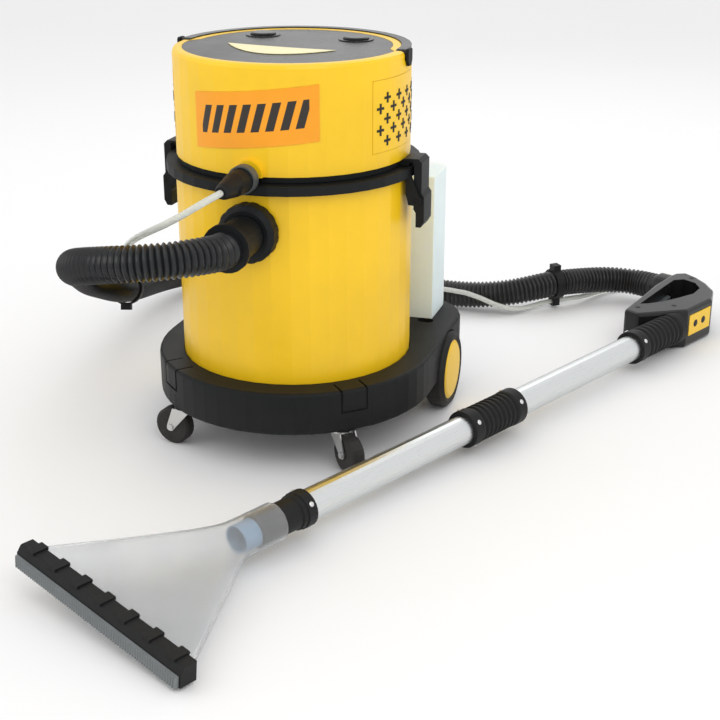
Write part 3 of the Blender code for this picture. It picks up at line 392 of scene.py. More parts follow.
def turned(name, profile, sides, place, finish, body, crease=35.0):
    """A profile of (radius, distance) carried round an axis: p(a, t) = (r cos a, t, r sin a)."""
    r, t = np.array(profile, float).T
    angle = np.linspace(0, 2 * np.pi, sides, endpoint=False)[:, None]
    local = np.stack([r * np.cos(angle), np.broadcast_to(t, (sides, len(t))), r * np.sin(angle)], 2)
    faces = grid_faces(sides, len(t), True, True)
    return piece(name, place(local.reshape(-1, 3)), faces, finish, body, crease)


def boxes(name, lows, highs, place, finish, body):
    """Several closed bricks in one mesh, each between its low and its high corner."""
    lows, highs = np.asarray(lows, float)[:, None], np.asarray(highs, float)[:, None]
    share = np.array([[x, y, z] for x in (0, 1) for y in (0, 1) for z in (0, 1)], float)
    points = (lows + (highs - lows) * share).reshape(-1, 3)
    one = np.array([[0, 1, 3, 2], [4, 6, 7, 5], [0, 4, 5, 1], [2, 3, 7, 6], [0, 2, 6, 4], [1, 5, 7, 3]])
    faces = (one[None] + 8 * np.arange(len(lows))[:, None, None]).reshape(-1, 4)
    return piece(name, place(points), faces, finish, body)


def buttons(name, places, facing, radius, height, place, finish, body, slot):
    """Round heads: flat ellipsoids p(u, v) = c + r sin u (cos v . e + sin v . f) + h cos u . n."""
    places, facing = np.asarray(places, float), np.asarray(facing, float)
    facing = facing / np.linalg.norm(facing, axis=1)[:, None]
    helper = np.where(np.abs(facing[:, 2:3]) > 0.8, [[1.0, 0, 0]], [[0, 0, 1.0]])
    first = np.cross(facing, helper)
    first /= np.linalg.norm(first, axis=1)[:, None]
    second = np.cross(facing, first)
    u = np.linspace(0, np.pi, 9)[None, :, None, None]
    v = np.linspace(0, 2 * np.pi, 16, endpoint=False)[None, None, :, None]
    flat = np.cos(v) * first[:, None, None] + np.sin(v) * second[:, None, None]
    points = places[:, None, None] + radius * np.sin(u) * flat + height * np.cos(u) * facing[:, None, None]
    faces = grid_faces(9, 16, False, True)
    faces = (faces[None] + 9 * 16 * np.arange(len(places))[:, None, None]).reshape(-1, 4)
    return piece(name, place(points.reshape(-1, 3)), faces, finish, body)


# --- materials -----------------------------------------------------------------------------


def add(tree, kind, values=None, **settings):
    """A shader node with its settings and its sockets' values."""
    made = tree.nodes.new(kind)
    for key, value in settings.items():
        setattr(made, key, value)
    for key, value in (values or {}).items():
        made.inputs[key].default_value = value
    return made


def effect(name, inputs, outputs):
    """An empty shader node group with named float inputs and outputs."""
    tree = bpy.data.node_groups.new(name, "ShaderNodeTree")
    for socket, value in inputs.items():
        tree.interface.new_socket(socket, in_out="INPUT", socket_type="NodeSocketFloat").default_value = value
    for socket in outputs:
        tree.interface.new_socket(socket, in_out="OUTPUT", socket_type="NodeSocketFloat")
    return tree, tree.nodes.new("NodeGroupInput"), tree.nodes.new("NodeGroupOutput")


def moulded_grain():
    """Fine grain of a mould as a height, and broad patches where the gloss and colour differ."""
    tree, given, out = effect("Moulded grain", {"Grain scale": 900.0, "Patch scale": 7.0}, ["Height", "Patches"])
    where = add(tree, "ShaderNodeTexCoord")
    fine = add(tree, "ShaderNodeTexNoise", {"Detail": 3.0, "Roughness": 0.6})
    broad = add(tree, "ShaderNodeTexNoise", {"Detail": 4.0, "Roughness": 0.55})
    spread = add(tree, "ShaderNodeMapRange", {"From Min": 0.35, "From Max": 0.65})
    for texture, socket in ((fine, "Grain scale"), (broad, "Patch scale")):
        tree.links.new(where.outputs["Object"], texture.inputs["Vector"])
        tree.links.new(given.outputs[socket], texture.inputs["Scale"])
    tree.links.new(broad.outputs["Fac"], spread.inputs["Value"])
    tree.links.new(fine.outputs["Fac"], out.inputs["Height"])
    tree.links.new(spread.outputs["Result"], out.inputs["Patches"])
    return tree


def handling_marks():
    """Scuffs: long thin streaks kept only where a broad noise is high, and dust near the floor."""
    tree, given, out = effect("Handling marks", {"Scale": 30.0, "Dust height": 0.12}, ["Scuffs", "Dust"])
    where = add(tree, "ShaderNodeTexCoord")
    stretch = add(tree, "ShaderNodeMapping", {"Rotation": (0.3, 0.2, 0.5), "Scale": (1.0, 5.0, 0.4)})
    streak = add(tree, "ShaderNodeTexNoise", {"Detail": 6.0, "Roughness": 0.7})
    keep = add(tree, "ShaderNodeMapRange", {"From Min": 0.66, "From Max": 0.76})
    split = add(tree, "ShaderNodeSeparateXYZ")
    low = add(tree, "ShaderNodeMapRange", {"From Min": 0.0, "To Min": 1.0, "To Max": 0.0})
    speck = add(tree, "ShaderNodeTexNoise", {"Scale": 60.0, "Detail": 5.0})
    both = add(tree, "ShaderNodeMath", operation="MULTIPLY")
    tree.links.new(where.outputs["Object"], stretch.inputs["Vector"])
    tree.links.new(stretch.outputs["Vector"], streak.inputs["Vector"])
    tree.links.new(given.outputs["Scale"], streak.inputs["Scale"])
    tree.links.new(streak.outputs["Fac"], keep.inputs["Value"])
    tree.links.new(keep.outputs["Result"], out.inputs["Scuffs"])
    tree.links.new(where.outputs["Object"], split.inputs["Vector"])
    tree.links.new(where.outputs["Object"], speck.inputs["Vector"])
    tree.links.new(split.outputs["Z"], low.inputs["Value"])
    tree.links.new(given.outputs["Dust height"], low.inputs["From Max"])
    tree.links.new(low.outputs["Result"], both.inputs[0])
    tree.links.new(speck.outputs["Fac"], both.inputs[1])
    tree.links.new(both.outputs["Value"], out.inputs["Dust"])
    return tree


def drawn_lines():
    """Fine lines along the wand, as on drawn and anodised tube."""
    tree, given, out = effect("Drawn lines", {"Scale": 90.0}, ["Height", "Shade"])
    where = add(tree, "ShaderNodeTexCoord")
    turn = add(tree, "ShaderNodeMapping", {"Rotation": (0, 0, -WAND_HEADING)})
    stretch = add(tree, "ShaderNodeMapping", {"Scale": (12.0, 0.35, 12.0)})
    lines = add(tree, "ShaderNodeTexNoise", {"Detail": 4.0, "Roughness": 0.6})
    spread = add(tree, "ShaderNodeMapRange", {"From Min": 0.3, "From Max": 0.7})
    tree.links.new(where.outputs["Object"], turn.inputs["Vector"])
    tree.links.new(turn.outputs["Vector"], stretch.inputs["Vector"])
    tree.links.new(stretch.outputs["Vector"], lines.inputs["Vector"])
    tree.links.new(given.outputs["Scale"], lines.inputs["Scale"])
    tree.links.new(lines.outputs["Fac"], out.inputs["Height"])
    tree.links.new(lines.outputs["Fac"], spread.inputs["Value"])
    tree.links.new(spread.outputs["Result"], out.inputs["Shade"])
    return tree


EFFECTS = {}


def use(tree, name, values=None):
    """One of the shared effects, placed in a material with its own values."""
    makers = {"grain": moulded_grain, "marks": handling_marks, "lines": drawn_lines}
    if name not in EFFECTS:
        EFFECTS[name] = makers[name]()
    return add(tree, "ShaderNodeGroup", values, node_tree=EFFECTS[name])


def blend(tree, mask, low, high):
    """A colour that goes from low to high as the mask goes from 0 to 1."""
    made = add(tree, "ShaderNodeMix", data_type="RGBA")
    tree.links.new(mask, made.inputs["Factor"])
    for socket, value in (("A", low), ("B", high)):
        target = next(s for s in made.inputs if s.name == socket and s.type == "RGBA")
        if isinstance(value, bpy.types.NodeSocket):
            tree.links.new(value, target)
        else:
            target.default_value = (*value, 1.0)
    return next(s for s in made.outputs if s.type == "RGBA")


def ramp(tree, mask, low, high):
    """A number that goes from low to high as the mask goes from 0 to 1."""
    made = add(tree, "ShaderNodeMapRange", {"To Min": low, "To Max": high})
    tree.links.new(mask, made.inputs["Value"])
    return made.outputs["Result"]


def scaled(colour, by):
    """A colour made lighter or darker."""
    return tuple(min(1.0, c * by) for c in colour)


def moulding(name, colour, roughness, grain, height, scuff, dust, rounding, sockets):
    """A moulded plastic or rubber: grain, patches of gloss, scuffs, dust near the floor."""
    made = bpy.data.materials.new(name)
    made.use_nodes = True
    tree = made.node_tree
    shader = tree.nodes["Principled BSDF"]
    surface = use(tree, "grain", {"Grain scale": grain, "Patch scale": 7.0})
    marks = use(tree, "marks", {"Scale": 30.0, "Dust height": 0.12})
    ground = blend(tree, surface.outputs["Patches"], scaled(colour, 0.94), scaled(colour, 1.05))
    light = tuple(c * 0.75 + 0.12 for c in colour)
    scuffs = ramp(tree, marks.outputs["Scuffs"], 0.0, scuff)
    worn = blend(tree, scuffs, ground, light)
    dirt = ramp(tree, marks.outputs["Dust"], 0.0, dust)
    tree.links.new(blend(tree, dirt, worn, (0.32, 0.29, 0.25)), shader.inputs["Base Color"])
    gloss = ramp(tree, surface.outputs["Patches"], roughness - 0.05, roughness + 0.06)
    tree.links.new(gloss, shader.inputs["Roughness"])
    bump = add(tree, "ShaderNodeBump", {"Strength": 1.0, "Distance": height})
    tree.links.new(surface.outputs["Height"], bump.inputs["Height"])
    if rounding:
        edge = add(tree, "ShaderNodeBevel", {"Radius": rounding}, samples=4)
        tree.links.new(edge.outputs["Normal"], bump.inputs["Normal"])
    tree.links.new(bump.outputs["Normal"], shader.inputs["Normal"])
    for socket, value in sockets.items():
        shader.inputs[socket].default_value = value
    return made


def drawn_metal(name, colour, roughness, height=0.000006):
    """Drawn metal: fine lines along the tube in its shade, its gloss and its relief."""
    made = bpy.data.materials.new(name)
    made.use_nodes = True
    tree = made.node_tree
    shader = tree.nodes["Principled BSDF"]
    shader.inputs["Metallic"].default_value = 1.0
    lines = use(tree, "lines", {"Scale": 90.0})
    marks = use(tree, "marks", {"Scale": 24.0, "Dust height": 0.05})
    ground = blend(tree, lines.outputs["Shade"], scaled(colour, 0.97), scaled(colour, 1.02))
    worn = blend(tree, ramp(tree, marks.outputs["Scuffs"], 0.0, 0.25), ground, scaled(colour, 0.75))
    tree.links.new(worn, shader.inputs["Base Color"])
    gloss = ramp(tree, lines.outputs["Shade"], roughness - 0.05, roughness + 0.08)
    tree.links.new(gloss, shader.inputs["Roughness"])
    bump = add(tree, "ShaderNodeBump", {"Strength": 1.0, "Distance": height})
    tree.links.new(lines.outputs["Height"], bump.inputs["Height"])
    tree.links.new(bump.outputs["Normal"], shader.inputs["Normal"])
    return made


def striped_label(name, ground, ink):
    """A plain label: an amber ground with a band of slanted dark bars, and no lettering."""
    made = moulding(name, ground, 0.30, 400.0, 0.00003, 0.15, 0.0, 0.0, {})
    tree = made.node_tree
    shader = tree.nodes["Principled BSDF"]
    under = shader.inputs["Base Color"].links[0].from_socket
    where = add(tree, "ShaderNodeUVMap")
    split = add(tree, "ShaderNodeSeparateXYZ")
    slant = add(tree, "ShaderNodeMath", {1: -0.12}, operation="MULTIPLY_ADD")
    steps = add(tree, "ShaderNodeMath", {1: 0.055}, operation="PINGPONG")
    bar = add(tree, "ShaderNodeMapRange", {"From Min": 0.0225, "From Max": 0.0240})
    tree.links.new(where.outputs["UV"], split.inputs["Vector"])
    tree.links.new(split.outputs["Y"], slant.inputs[0])
    tree.links.new(split.outputs["X"], slant.inputs[2])
    tree.links.new(slant.outputs["Value"], steps.inputs[0])
    tree.links.new(steps.outputs["Value"], bar.inputs["Value"])
    product = bar.outputs["Result"]
    for axis, middle, half in (("Y", 0.52, 0.25), ("X", 0.50, 0.43)):
        fade = {"From Min": half - 0.004, "From Max": half, "To Min": 1.0, "To Max": 0.0}
        away = add(tree, "ShaderNodeMath", {1: middle}, operation="SUBTRACT")
        size = add(tree, "ShaderNodeMath", operation="ABSOLUTE")
        window = add(tree, "ShaderNodeMapRange", fade)
        both = add(tree, "ShaderNodeMath", operation="MULTIPLY")
        tree.links.new(split.outputs[axis], away.inputs[0])
        tree.links.new(away.outputs["Value"], size.inputs[0])
        tree.links.new(size.outputs["Value"], window.inputs["Value"])
        tree.links.new(product, both.inputs[0])
        tree.links.new(window.outputs["Result"], both.inputs[1])
        product = both.outputs["Value"]
    tree.links.new(blend(tree, product, under, ink), shader.inputs["Base Color"])
    return made


ROUNDING = 0.0008
# A moulding's material: its name, colour, roughness, grain scale, grain height, scuffs, dust and edge
# rounding, then further sockets. A colour given by name is one of the scene's own settings.
MOULDINGS = {
    "yellow": ("Yellow shell", "yellow", 0.36, 700.0, 0.00005, 0.10, 0.05, ROUNDING, {}),
    "yellow_trim": ("Yellow trim", "yellow", 0.30, 900.0, 0.00003, 0.12, 0.05, ROUNDING, {}),
    "hub": ("Wheel hub", "yellow", 0.38, 900.0, 0.00004, 0.25, 0.2, ROUNDING, {}),
    "black": (
        *("Black moulding", "black", 0.50, 1100.0, 0.00010, 0.06, 0.04, ROUNDING),
        {"Specular IOR Level": 0.18},
    ),
    "black_gloss": (
        *("Black gloss moulding", "black", 0.26, 900.0, 0.00003, 0.07, 0.03, ROUNDING),
        {"Specular IOR Level": 0.32},
    ),
    "grey": ("Grey moulding", "grey", 0.42, 900.0, 0.00005, 0.2, 0.1, ROUNDING, {}),
    "tread": (
        *("Wheel rubber", (0.010, 0.010, 0.010), 0.60, 500.0, 0.00018, 0.12, 0.14, ROUNDING),
        {"Specular IOR Level": 0.25},
    ),
    "hose": (
        *("Hose vinyl", (0.008, 0.009, 0.010), 0.30, 600.0, 0.00004, 0.08, 0.10, 0.0),
        {"Specular IOR Level": 0.40},
    ),
    "milky": (
        *("Milky tank plastic", (0.93, 0.95, 0.92), 0.42, 300.0, 0.00012, 0.05, 0.03, ROUNDING),
        {"Subsurface Weight": 0.25},
    ),
    "clear": (
        *("Clear tubing", (0.78, 0.80, 0.74), 0.22, 300.0, 0.00003, 0.05, 0.1, 0.0),
        {"Transmission Weight": 0.35},
    ),
    "nozzle": (
        *("Smoky clear nozzle", (0.96, 0.98, 0.99), 0.20, 200.0, 0.00008, 0.25, 0.02, 0.0),
        {"Transmission Weight": 0.88, "IOR": 1.25},
    ),
    "inner_pipe": ("Inner pipe", (0.25, 0.40, 0.58), 0.3, 400.0, 0.00003, 0.1, 0.0, 0.0, {}),
    "cream": ("Cream plate", (0.84, 0.76, 0.42), 0.35, 700.0, 0.00003, 0.1, 0.0, ROUNDING, {}),
    "strip": ("Toothed strip", (0.17, 0.185, 0.19), 0.45, 900.0, 0.00005, 0.1, 0.05, 0.0, {}),
    "felt": ("Filter felt", (0.30, 0.30, 0.29), 0.9, 350.0, 0.0006, 0.1, 0.0, 0.0, {"Sheen Weight": 0.4}),
    "dark": ("Slot shadow", (0.006, 0.006, 0.006), 0.6, 800.0, 0.00003, 0.05, 0.0, 0.0, {}),
}
METALS = {
    "rivet": ("Rivet heads", (0.72, 0.72, 0.72), 0.30),
    "alloy": ("Anodised tube", (0.70, 0.72, 0.72), 0.30),
    "zinc": ("Zinc plated steel", (0.62, 0.62, 0.61), 0.34),
}
LABEL_INK = (0.02, 0.015, 0.01)
FINISHES = {}


def finish(name):
    """The object's finishes by name; each is made the first time it is asked for."""
    if name in FINISHES:
        return FINISHES[name]
    colours = bpy.context.scene.cleaner.colours
    if name == "label":
        made = striped_label("Plain label", tuple(colours.amber), LABEL_INK)
    elif name in METALS:
        made = drawn_metal(*METALS[name])
    else:
        title, colour, *values, sockets = MOULDINGS[name]
        if isinstance(colour, str):
            colour = tuple(getattr(colours, colour))
        made = moulding(title, colour, *values, sockets)
    FINISHES[name] = made
    return made


CAD_FINISHES = {
    "yellow": "drum head_shell vent_grille_left vent_grille_right",
    "yellow_trim": "handle_panel",
    "hub": "rear_hub_left rear_hub_right",
    "black": "base_tray drum_ring latch_left latch_right inlet_fitting inlet_ring_nut hose_cuff head_base"
    " carry_pivot_left carry_pivot_right coupling_socket spray_plug plug_button tank_feed_fitting"
    " cable_gland tank_cap hose_clip_left hose_clip_right nozzle_bar pump lower_adaptor float_cage",
    "black_gloss": "top_panel switch_left switch_right carry_handle wand_handle",
    "grey": "coupling_collar spray_trigger motor",
    "tread": "rear_tyre_left rear_tyre_right caster_wheel_left caster_wheel_right",
    "zinc": "caster_fork_left caster_fork_right caster_axle_left caster_axle_right rear_axle turbine",
    "alloy": "lower_tube upper_tube",
    "milky": "solution_tank",
    "cream": "crescent_plate float_ball",
    "felt": "filter_sleeve",
}


# --- operators -----------------------------------------------------------------------------


class CLEANER_OT_stage(bpy.types.Operator):
    """Lay the pale floor, light it softly and set the camera."""

    bl_idname = "cleaner.stage"
    bl_label = "Stage"

    def execute(self, context):
        settings = context.scene.cleaner.stage
        world = bpy.data.worlds.new("Soft surround")
        world.use_nodes = True
        world.node_tree.nodes["Background"].inputs["Color"].default_value = (1, 1, 1, 1)
        world.node_tree.nodes["Background"].inputs["Strength"].default_value = settings.surround
        context.scene.world = world
        context.scene.view_settings.view_transform = "Standard"
        mesh = bpy.data.meshes.new("floor")
        mesh.from_pydata([(x, y, -0.0005) for x, y in ((-9, -9), (9, -9), (9, 9), (-9, 9))], [], [(0, 1, 2, 3)])
        floor = bpy.data.objects.new("floor", mesh)
        context.scene.collection.objects.link(floor)
        surface = bpy.data.materials.new("Pale floor")
        surface.use_nodes = True
        tree = surface.node_tree
        grain = use(tree, "grain", {"Grain scale": 60.0, "Patch scale": 0.7})
        tone = tuple(settings.floor)
        shade = blend(tree, grain.outputs["Patches"], scaled(tone, 0.985), tone)
        tree.links.new(shade, tree.nodes["Principled BSDF"].inputs["Base Color"])
        tree.nodes["Principled BSDF"].inputs["Roughness"].default_value = 0.7
        mesh.materials.append(surface)
        lamps = {
            "key": ((1.3, -1.6, 2.2), 1.6, settings.key),
            "fill": ((-1.9, -1.2, 1.6), 1.8, settings.key * 0.45),
            "rim": ((-0.4, 2.0, 1.9), 1.5, settings.key * 0.5),
        }
        for name, (place, size, power) in lamps.items():
            lamp = bpy.data.lights.new(name, "AREA")
            lamp.size = size
            lamp.energy = power
            carrier = bpy.data.objects.new(name, lamp)
            carrier.location = place
            aim = np.array([0.0, 0.0, 0.2]) - np.array(place)
            flat = math.hypot(aim[0], aim[1])
            carrier.rotation_euler = (math.atan2(flat, -aim[2]), 0, math.atan2(aim[1], aim[0]) - math.pi / 2)
            context.scene.collection.objects.link(carrier)
        lens = bpy.data.cameras.new("camera")
        lens.lens = settings.lens
        lens.sensor_width = 36
        camera = bpy.data.objects.new("camera", lens)
        camera.location = (0.4515, -1.5978, 0.772)
        camera.rotation_euler = (math.radians(68.073), 0, math.radians(18))
        context.scene.collection.objects.link(camera)
        context.scene.camera = camera
        return {"FINISHED"}


def straight_ended(points, count):
    """A smooth route whose first and last stretches are straight."""
    points = np.asarray(points, float)
    return np.vstack([points[:1], smooth_route(points[1:-1], count - 2), points[-1:]])


def hose_line():
    """The hose's centreline, from the cuff's flange to the grip's port."""
    reach = np.array([0.040, 0.018, 0.010, 0.0012])
    port = np.stack([HOSE_PORT[0] - reach, np.full(4, HOSE_PORT[1]), -0.03 * reach], 1)
    return straight_ended(np.vstack([from_machine(HOSE_ROUTE), from_wand(port)]), 74)


def smooth_dense(line):
    """The line with eight points in each stretch, on its own natural cubic."""
    return smooth_route(line, 8 * len(line))


def through_clip(line, name):
    """Three points that lead the spray tube through a clip, beside the hose."""
    share, up = CLIPS[name]
    index = int(round(share * (len(line) - 1)))
    along = line[index + 1] - line[index - 1]
    along /= np.linalg.norm(along)
    side = np.array([0, 0, float(up)])
    side -= along * side.dot(along)
    side /= np.linalg.norm(side)
    return line[index] + side * TUBE_OFF + along * np.array([[-0.014], [0.0], [0.014]])


class CLEANER_OT_hose(bpy.types.Operator):
    """Make the ribbed suction hose on its route."""

    bl_idname = "cleaner.hose"
    bl_label = "Suction hose"

    def execute(self, context):
        settings = context.scene.cleaner.hose
        line, at = evenly(smooth_dense(hose_line()), settings.rib_pitch / 6)
        wave = 0.5 + 0.5 * np.cos(2 * np.pi * at / settings.rib_pitch)
        calm = np.clip(np.minimum(at, at[-1] - at) / 0.012, 0, 1)
        depth = settings.rib_depth * (1 - wave**0.7) * calm
        hose = tube("ribbed_hose", line, HOSE_R - depth, settings.sides, finish("hose"), "machine")
        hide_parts("suction_hose")
        return {"FINISHED"}


class CLEANER_OT_tubes(bpy.types.Operator):
    """Make the clear spray tube and the tank's feed tube."""

    bl_idname = "cleaner.tubes"
    bl_label = "Clear tubes"

    def execute(self, context):
        hose = hose_line()
        stops = np.vstack(
            [
                from_machine(TUBE_ROUTE_NEAR),
                through_clip(hose, "left"),
                from_machine(TUBE_ROUTE_FLOOR),
                through_clip(hose, "right"),
                from_machine(TUBE_ROUTE_FAR),
                from_wand(TUBE_ROUTE_HANDLE),
            ]
        )
        line, _ = evenly(straight_ended(stops, 80), 0.006)
        spray = tube("clear_spray_tube", line, TUBE_R, 16, finish("clear"), "machine")
        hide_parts("spray_tube")
        line, _ = evenly(smooth_route(from_machine(FEED_ROUTE), 18), 0.003)
        feed = tube("clear_feed_tube", line, FEED_R, 16, finish("clear"), "tank", (1, 0, 0))
        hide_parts("feed_tube")
        return {"FINISHED"}


class CLEANER_OT_sleeves(bpy.types.Operator):
    """Make the ribbed sleeves and the rivets along the wand."""

    bl_idname = "cleaner.sleeves"
    bl_label = "Wand sleeves"

    def execute(self, context):
        settings = context.scene.cleaner.sleeves
        seat = WAND_R + 0.0003
        for name, node, (start, end) in (
            ("ribbed_middle_sleeve", "middle_sleeve", MIDDLE_SLEEVE),
            ("ribbed_upper_sleeve", "upper_sleeve", UPPER_SLEEVE),
        ):
            plain = 0.017
            t = np.linspace(start + plain, end - plain, settings.ribs * 12 + 1)
            wave = np.cos(2 * np.pi * settings.ribs * (t - t[0]) / (t[-1] - t[0]))
            r = settings.radius - settings.depth * (0.5 - 0.5 * np.sign(wave) * np.abs(wave) ** 0.45)
            outer = np.stack([r, t], 1)
            flange = settings.radius + 0.0006
            corner = [(0.0, seat), (0.0, flange - 0.0006), (0.0006, flange), (plain - 0.001, flange)]
            first = [(r, start + along) for along, r in corner]
            last = [(r, end - along) for along, r in reversed(corner)]
            profile = np.vstack([first, outer, last])
            made = turned(name, profile, 48, from_wand, finish("black"), "machine", 28.0)
            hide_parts(node)
        angles = np.radians([35, 125, 215, 305])
        stops = [-0.0220, 0.2780, 0.3670, 0.6690]
        turn, stop = (a.ravel() for a in np.meshgrid(angles, stops))
        facing = np.stack([np.cos(turn), np.zeros(len(turn)), np.sin(turn)], 1)
        radius = np.where(stop < 0, 0.0225, settings.radius + 0.0006)
        places = facing * radius[:, None] + np.stack([np.zeros(len(turn)), stop, np.zeros(len(turn))], 1)
        buttons("wand_rivets", places, facing, 0.0032, 0.0012, from_wand, finish("rivet"), "machine", "steel")
        return {"FINISHED"}


def fan_shell():
    """The nozzle's walls: superellipses |x/w|^n + |z/h|^n = 1, out along the outside and back inside."""
    given = np.array(NOZZLE_SECTIONS)
    t = np.linspace(0, 1, 49)
    y = given[0, 0] + (given[-1, 0] - given[0, 0]) * t
    wide, high, lift, square = (np.interp(-y, -given[:, 0], given[:, k]) for k in range(1, 5))
    smooth = np.array([1.0, 2.0, 3.0, 2.0, 1.0]) / 9
    wide, high = (np.convolve(np.pad(a, 2, mode="edge"), smooth, "valid") for a in (wide, high))
    y, wide, high, lift, square = (np.concatenate([a, a[::-1]]) for a in (y, wide, high, lift, square))
    wall = np.where(np.arange(98) < 49, 0.0, NOZZLE_WALL)
    angle = np.linspace(0, 2 * np.pi, 96, endpoint=False)[None]
    power = 2 / square[:, None]
    x = (wide - wall)[:, None] * np.sign(np.cos(angle)) * np.abs(np.cos(angle)) ** power
    z = lift[:, None] + (high - wall)[:, None] * np.sign(np.sin(angle)) * np.abs(np.sin(angle)) ** power
    local = np.stack([x, np.broadcast_to(y[:, None], x.shape), z], 2).reshape(-1, 3)
    faces = grid_faces(98, 96, True, True)
    return piece("clear_nozzle", from_nozzle(local), faces, finish("nozzle"), "machine", 50.0)


def ridged_strip(teeth, tooth_depth):
    """The strip under the bar: a rectangle drawn along it, whose front edge moves in and out."""
    half = BAR_HALF - 0.002
    steps = np.linspace(-half, half, teeth * 8 + 1)
    tooth = 0.5 - 0.5 * np.cos(2 * np.pi * teeth * (steps + half) / (2 * half))
    front = BAR_Y - 0.0205 - tooth_depth * tooth**0.6 + 0.0008
    back = np.full(len(steps), BAR_Y - 0.0168)
    low, high = BAR_Z - 0.0115, BAR_Z + 0.0020
    ring_y = np.stack([back, front, front, back], 1)
    ring_z = np.broadcast_to([low, low, high, high], ring_y.shape)
    ring_x = np.broadcast_to(steps[:, None], ring_y.shape)
    body = np.stack([ring_x, ring_y, ring_z], 2)
    ends = body[[0, -1]].mean(1, keepdims=True).repeat(4, 1)
    local = np.concatenate([ends[:1], body, ends[1:]]).reshape(-1, 3)
    faces = grid_faces(len(steps) + 2, 4, False, True)
    return piece("toothed_strip", from_nozzle(local), faces, finish("strip"), "machine")


def tab_row(count):
    """The clamp tabs: equal bricks, evenly spread along the top of the bar."""
    pitch = 2 * BAR_HALF / count
    middles = -BAR_HALF + pitch * (np.arange(count) + 0.5)
    low, high = (-0.006, BAR_Y - 0.0135, BAR_Z + 0.0100), (0.006, BAR_Y + 0.0060, BAR_Z + 0.0135)
    along = np.stack([middles, np.zeros(count), np.zeros(count)], 1)
    boxes("clamp_tabs", along + low, along + high, from_nozzle, finish("black"), "machine")


class CLEANER_OT_nozzle(bpy.types.Operator):
    """Make the fan nozzle's shell, its clamp tabs and the toothed strip."""

    bl_idname = "cleaner.nozzle"
    bl_label = "Nozzle"

    def execute(self, context):
        settings = context.scene.cleaner.nozzle
        shell = fan_shell()
        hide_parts("nozzle_shell")
        strip = ridged_strip(settings.teeth, settings.tooth_depth)
        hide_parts("brush_strip")
        tab_row(settings.tabs)
        pipe = [(0.0150, -0.120), (0.0165, -0.120), (0.0165, -0.0965), (0.0150, -0.0965)]
        turned("neck_pipe", pipe, 40, from_wand, finish("inner_pipe"), "machine")
        return {"FINISHED"}


class CLEANER_OT_head(bpy.types.Operator):
    """Put the plain label and the slotted vents' marks, painted shade in the slots, on the head."""

    bl_idname = "cleaner.head"
    bl_label = "Label and vents"

    def execute(self, context):
        settings = context.scene.cleaner.head
        u, v = np.meshgrid(np.linspace(0, 1, 61), np.linspace(0, 1, 9), indexing="ij")
        angle = settings.label_start + (settings.label_end - settings.label_start) * u
        z = LABEL_LOW + LABEL_CLIMB * u + settings.label_height * v
        outer, inner = HEAD_R + 0.0006, HEAD_R + 0.0002
        sheets = [np.stack([r * np.cos(angle), r * np.sin(angle), z], 2) for r in (outer, inner)]
        ring = np.concatenate([sheets[0], sheets[1][:, ::-1]], 1)
        points = from_machine(ring.reshape(-1, 3))
        faces = np.vstack([grid_faces(61, 18, False, True), cap_faces(0, 9, 18), cap_faces(60, 9, 18)])
        label = piece("plain_label", points, faces, finish("label"), "head", 60.0)
        layer = label.data.uv_layers.new(name="label")
        spots = np.empty(len(label.data.vertices) * 3)
        label.data.vertices.foreach_get("co", spots)
        spots = spots.reshape(-1, 3) - MACHINE
        width = settings.label_end - settings.label_start
        share = (np.arctan2(spots[:, 1], spots[:, 0]) - settings.label_start) / width
        rise = (spots[:, 2] - LABEL_LOW - LABEL_CLIMB * share) / settings.label_height
        corner = np.empty(len(label.data.loops), int)
        label.data.loops.foreach_get("vertex_index", corner)
        layer.data.foreach_set("uv", np.stack([share[corner], rise[corner]], 1).ravel())
        spots = [(angle, row) for k, row in enumerate(MARK_ROWS) for angle in MARK_ANGLES[k % 2]]
        turn, height = np.array(spots).T
        for side, name in ((1, "right"), (-1, "left")):
            self.marks(f"vent_marks_{name}", side, np.radians(turn), height, settings)
        return {"FINISHED"}

    def marks(self, name, side, turn, height, settings):
        """Plus-shaped slots drawn as near-black bricks, painted shade in the vent openings: two bricks each, bent
        to the head: x = r cos a, y = r sin a.
        """
        long, thin = settings.mark_size / 2, settings.mark_width / 2
        spread = np.concatenate([np.full(len(turn), long), np.full(len(turn), thin)])
        rise = np.concatenate([np.full(len(turn), thin), np.full(len(turn), long)])
        turn, height = np.tile(turn, 2), np.tile(height, 2)
        deep = np.concatenate([np.full(len(turn) // 2, 0.00045), np.full(len(turn) // 2, 0.00060)])
        arc = HEAD_R * turn
        lows = np.stack([arc - spread, height - rise, np.full(len(turn), -0.0003)], 1)
        highs = np.stack([arc + spread, height + rise, deep], 1)

        def bent(points):
            a, r = points[:, 0] / HEAD_R, HEAD_R + points[:, 2]
            return from_machine(np.stack([side * r * np.cos(a), r * np.sin(a), points[:, 1]], 1))

        # Near-black finish: painted shade inside the vent slots.
        boxes(name, lows, highs, bent, finish("dark"), "head")


def cap_faces(row, half, columns):
    """Quads that close one end of a flat strip between its two sheets."""
    j = np.arange(half - 1)
    start = row * columns
    return np.stack([start + j, start + j + 1, start + columns - 2 - j, start + columns - 1 - j], 1)


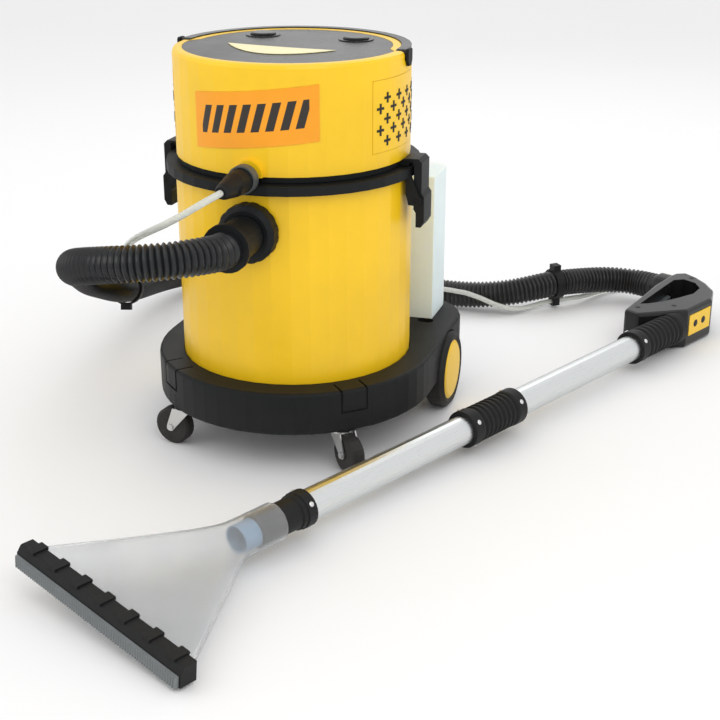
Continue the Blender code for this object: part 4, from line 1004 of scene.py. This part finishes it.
class CLEANER_OT_grip(bpy.types.Operator):
    """Put the screws and the panel's two marks on the wand's grip."""

    bl_idname = "cleaner.grip"
    bl_label = "Grip details"

    def execute(self, context):
        top = HANDLE_HIGH
        places = [(-0.0130, 0.800, top), (-0.0620, 0.9360, top), (-0.0500, 0.7560, top)]
        kind = (from_wand, finish("dark"), "machine", "black_plastic")
        buttons("grip_screws", places, [(0, 0, 1)] * 3, 0.0042, 0.0007, *kind)
        spots = [(0.0153, 0.8200, 0.0), (0.0153, 0.8430, 0.0)]
        buttons("panel_marks", spots, [(1, 0, 0)] * 2, 0.0058, 0.0010, *kind)
        return {"FINISHED"}


class CLEANER_OT_frame_finishes(bpy.types.Operator):
    """Give every piece of the frame that still shows its own finish."""

    bl_idname = "cleaner.frame_finishes"
    bl_label = "Frame finishes"

    def execute(self, context):
        for name, nodes in CAD_FINISHES.items():
            for node in nodes.split():
                data = NODES[node].data
                data.materials.clear()
                data.materials.append(finish(name))
        return {"FINISHED"}


OPERATORS = [
    CLEANER_OT_stage,
    CLEANER_OT_hose,
    CLEANER_OT_tubes,
    CLEANER_OT_sleeves,
    CLEANER_OT_nozzle,
    CLEANER_OT_head,
    CLEANER_OT_grip,
    CLEANER_OT_frame_finishes,
]


class CLEANER_PT_panel(bpy.types.Panel):
    """The sidebar's list of the operators."""

    bl_idname = "CLEANER_PT_panel"
    bl_label = "Carpet cleaner"
    bl_space_type = "VIEW_3D"
    bl_region_type = "UI"
    bl_category = "Cleaner"

    def draw(self, context):
        for operator in OPERATORS:
            self.layout.operator(operator.bl_idname)


CLASSES = [
    CLEANER_PG_hose,
    CLEANER_PG_sleeves,
    CLEANER_PG_nozzle,
    CLEANER_PG_head,
    CLEANER_PG_colours,
    CLEANER_PG_stage,
    CLEANER_PG_settings,
    *OPERATORS,
    CLEANER_PT_panel,
]


def register():
    """Registers the classes and the scene's settings."""
    for each in CLASSES:
        bpy.utils.register_class(each)
    bpy.types.Scene.cleaner = bpy.props.PointerProperty(type=CLEANER_PG_settings)


def unregister():
    """Removes the settings and the classes again."""
    del bpy.types.Scene.cleaner
    for each in reversed(CLASSES):
        bpy.utils.unregister_class(each)


def main():
    """Builds everything in order."""
    register()
    bpy.ops.cleaner.stage()
    bpy.ops.cleaner.hose()
    bpy.ops.cleaner.tubes()
    bpy.ops.cleaner.sleeves()
    bpy.ops.cleaner.nozzle()
    bpy.ops.cleaner.head()
    bpy.ops.cleaner.grip()
    bpy.ops.cleaner.frame_finishes()


if __name__ == "__main__":
    main()
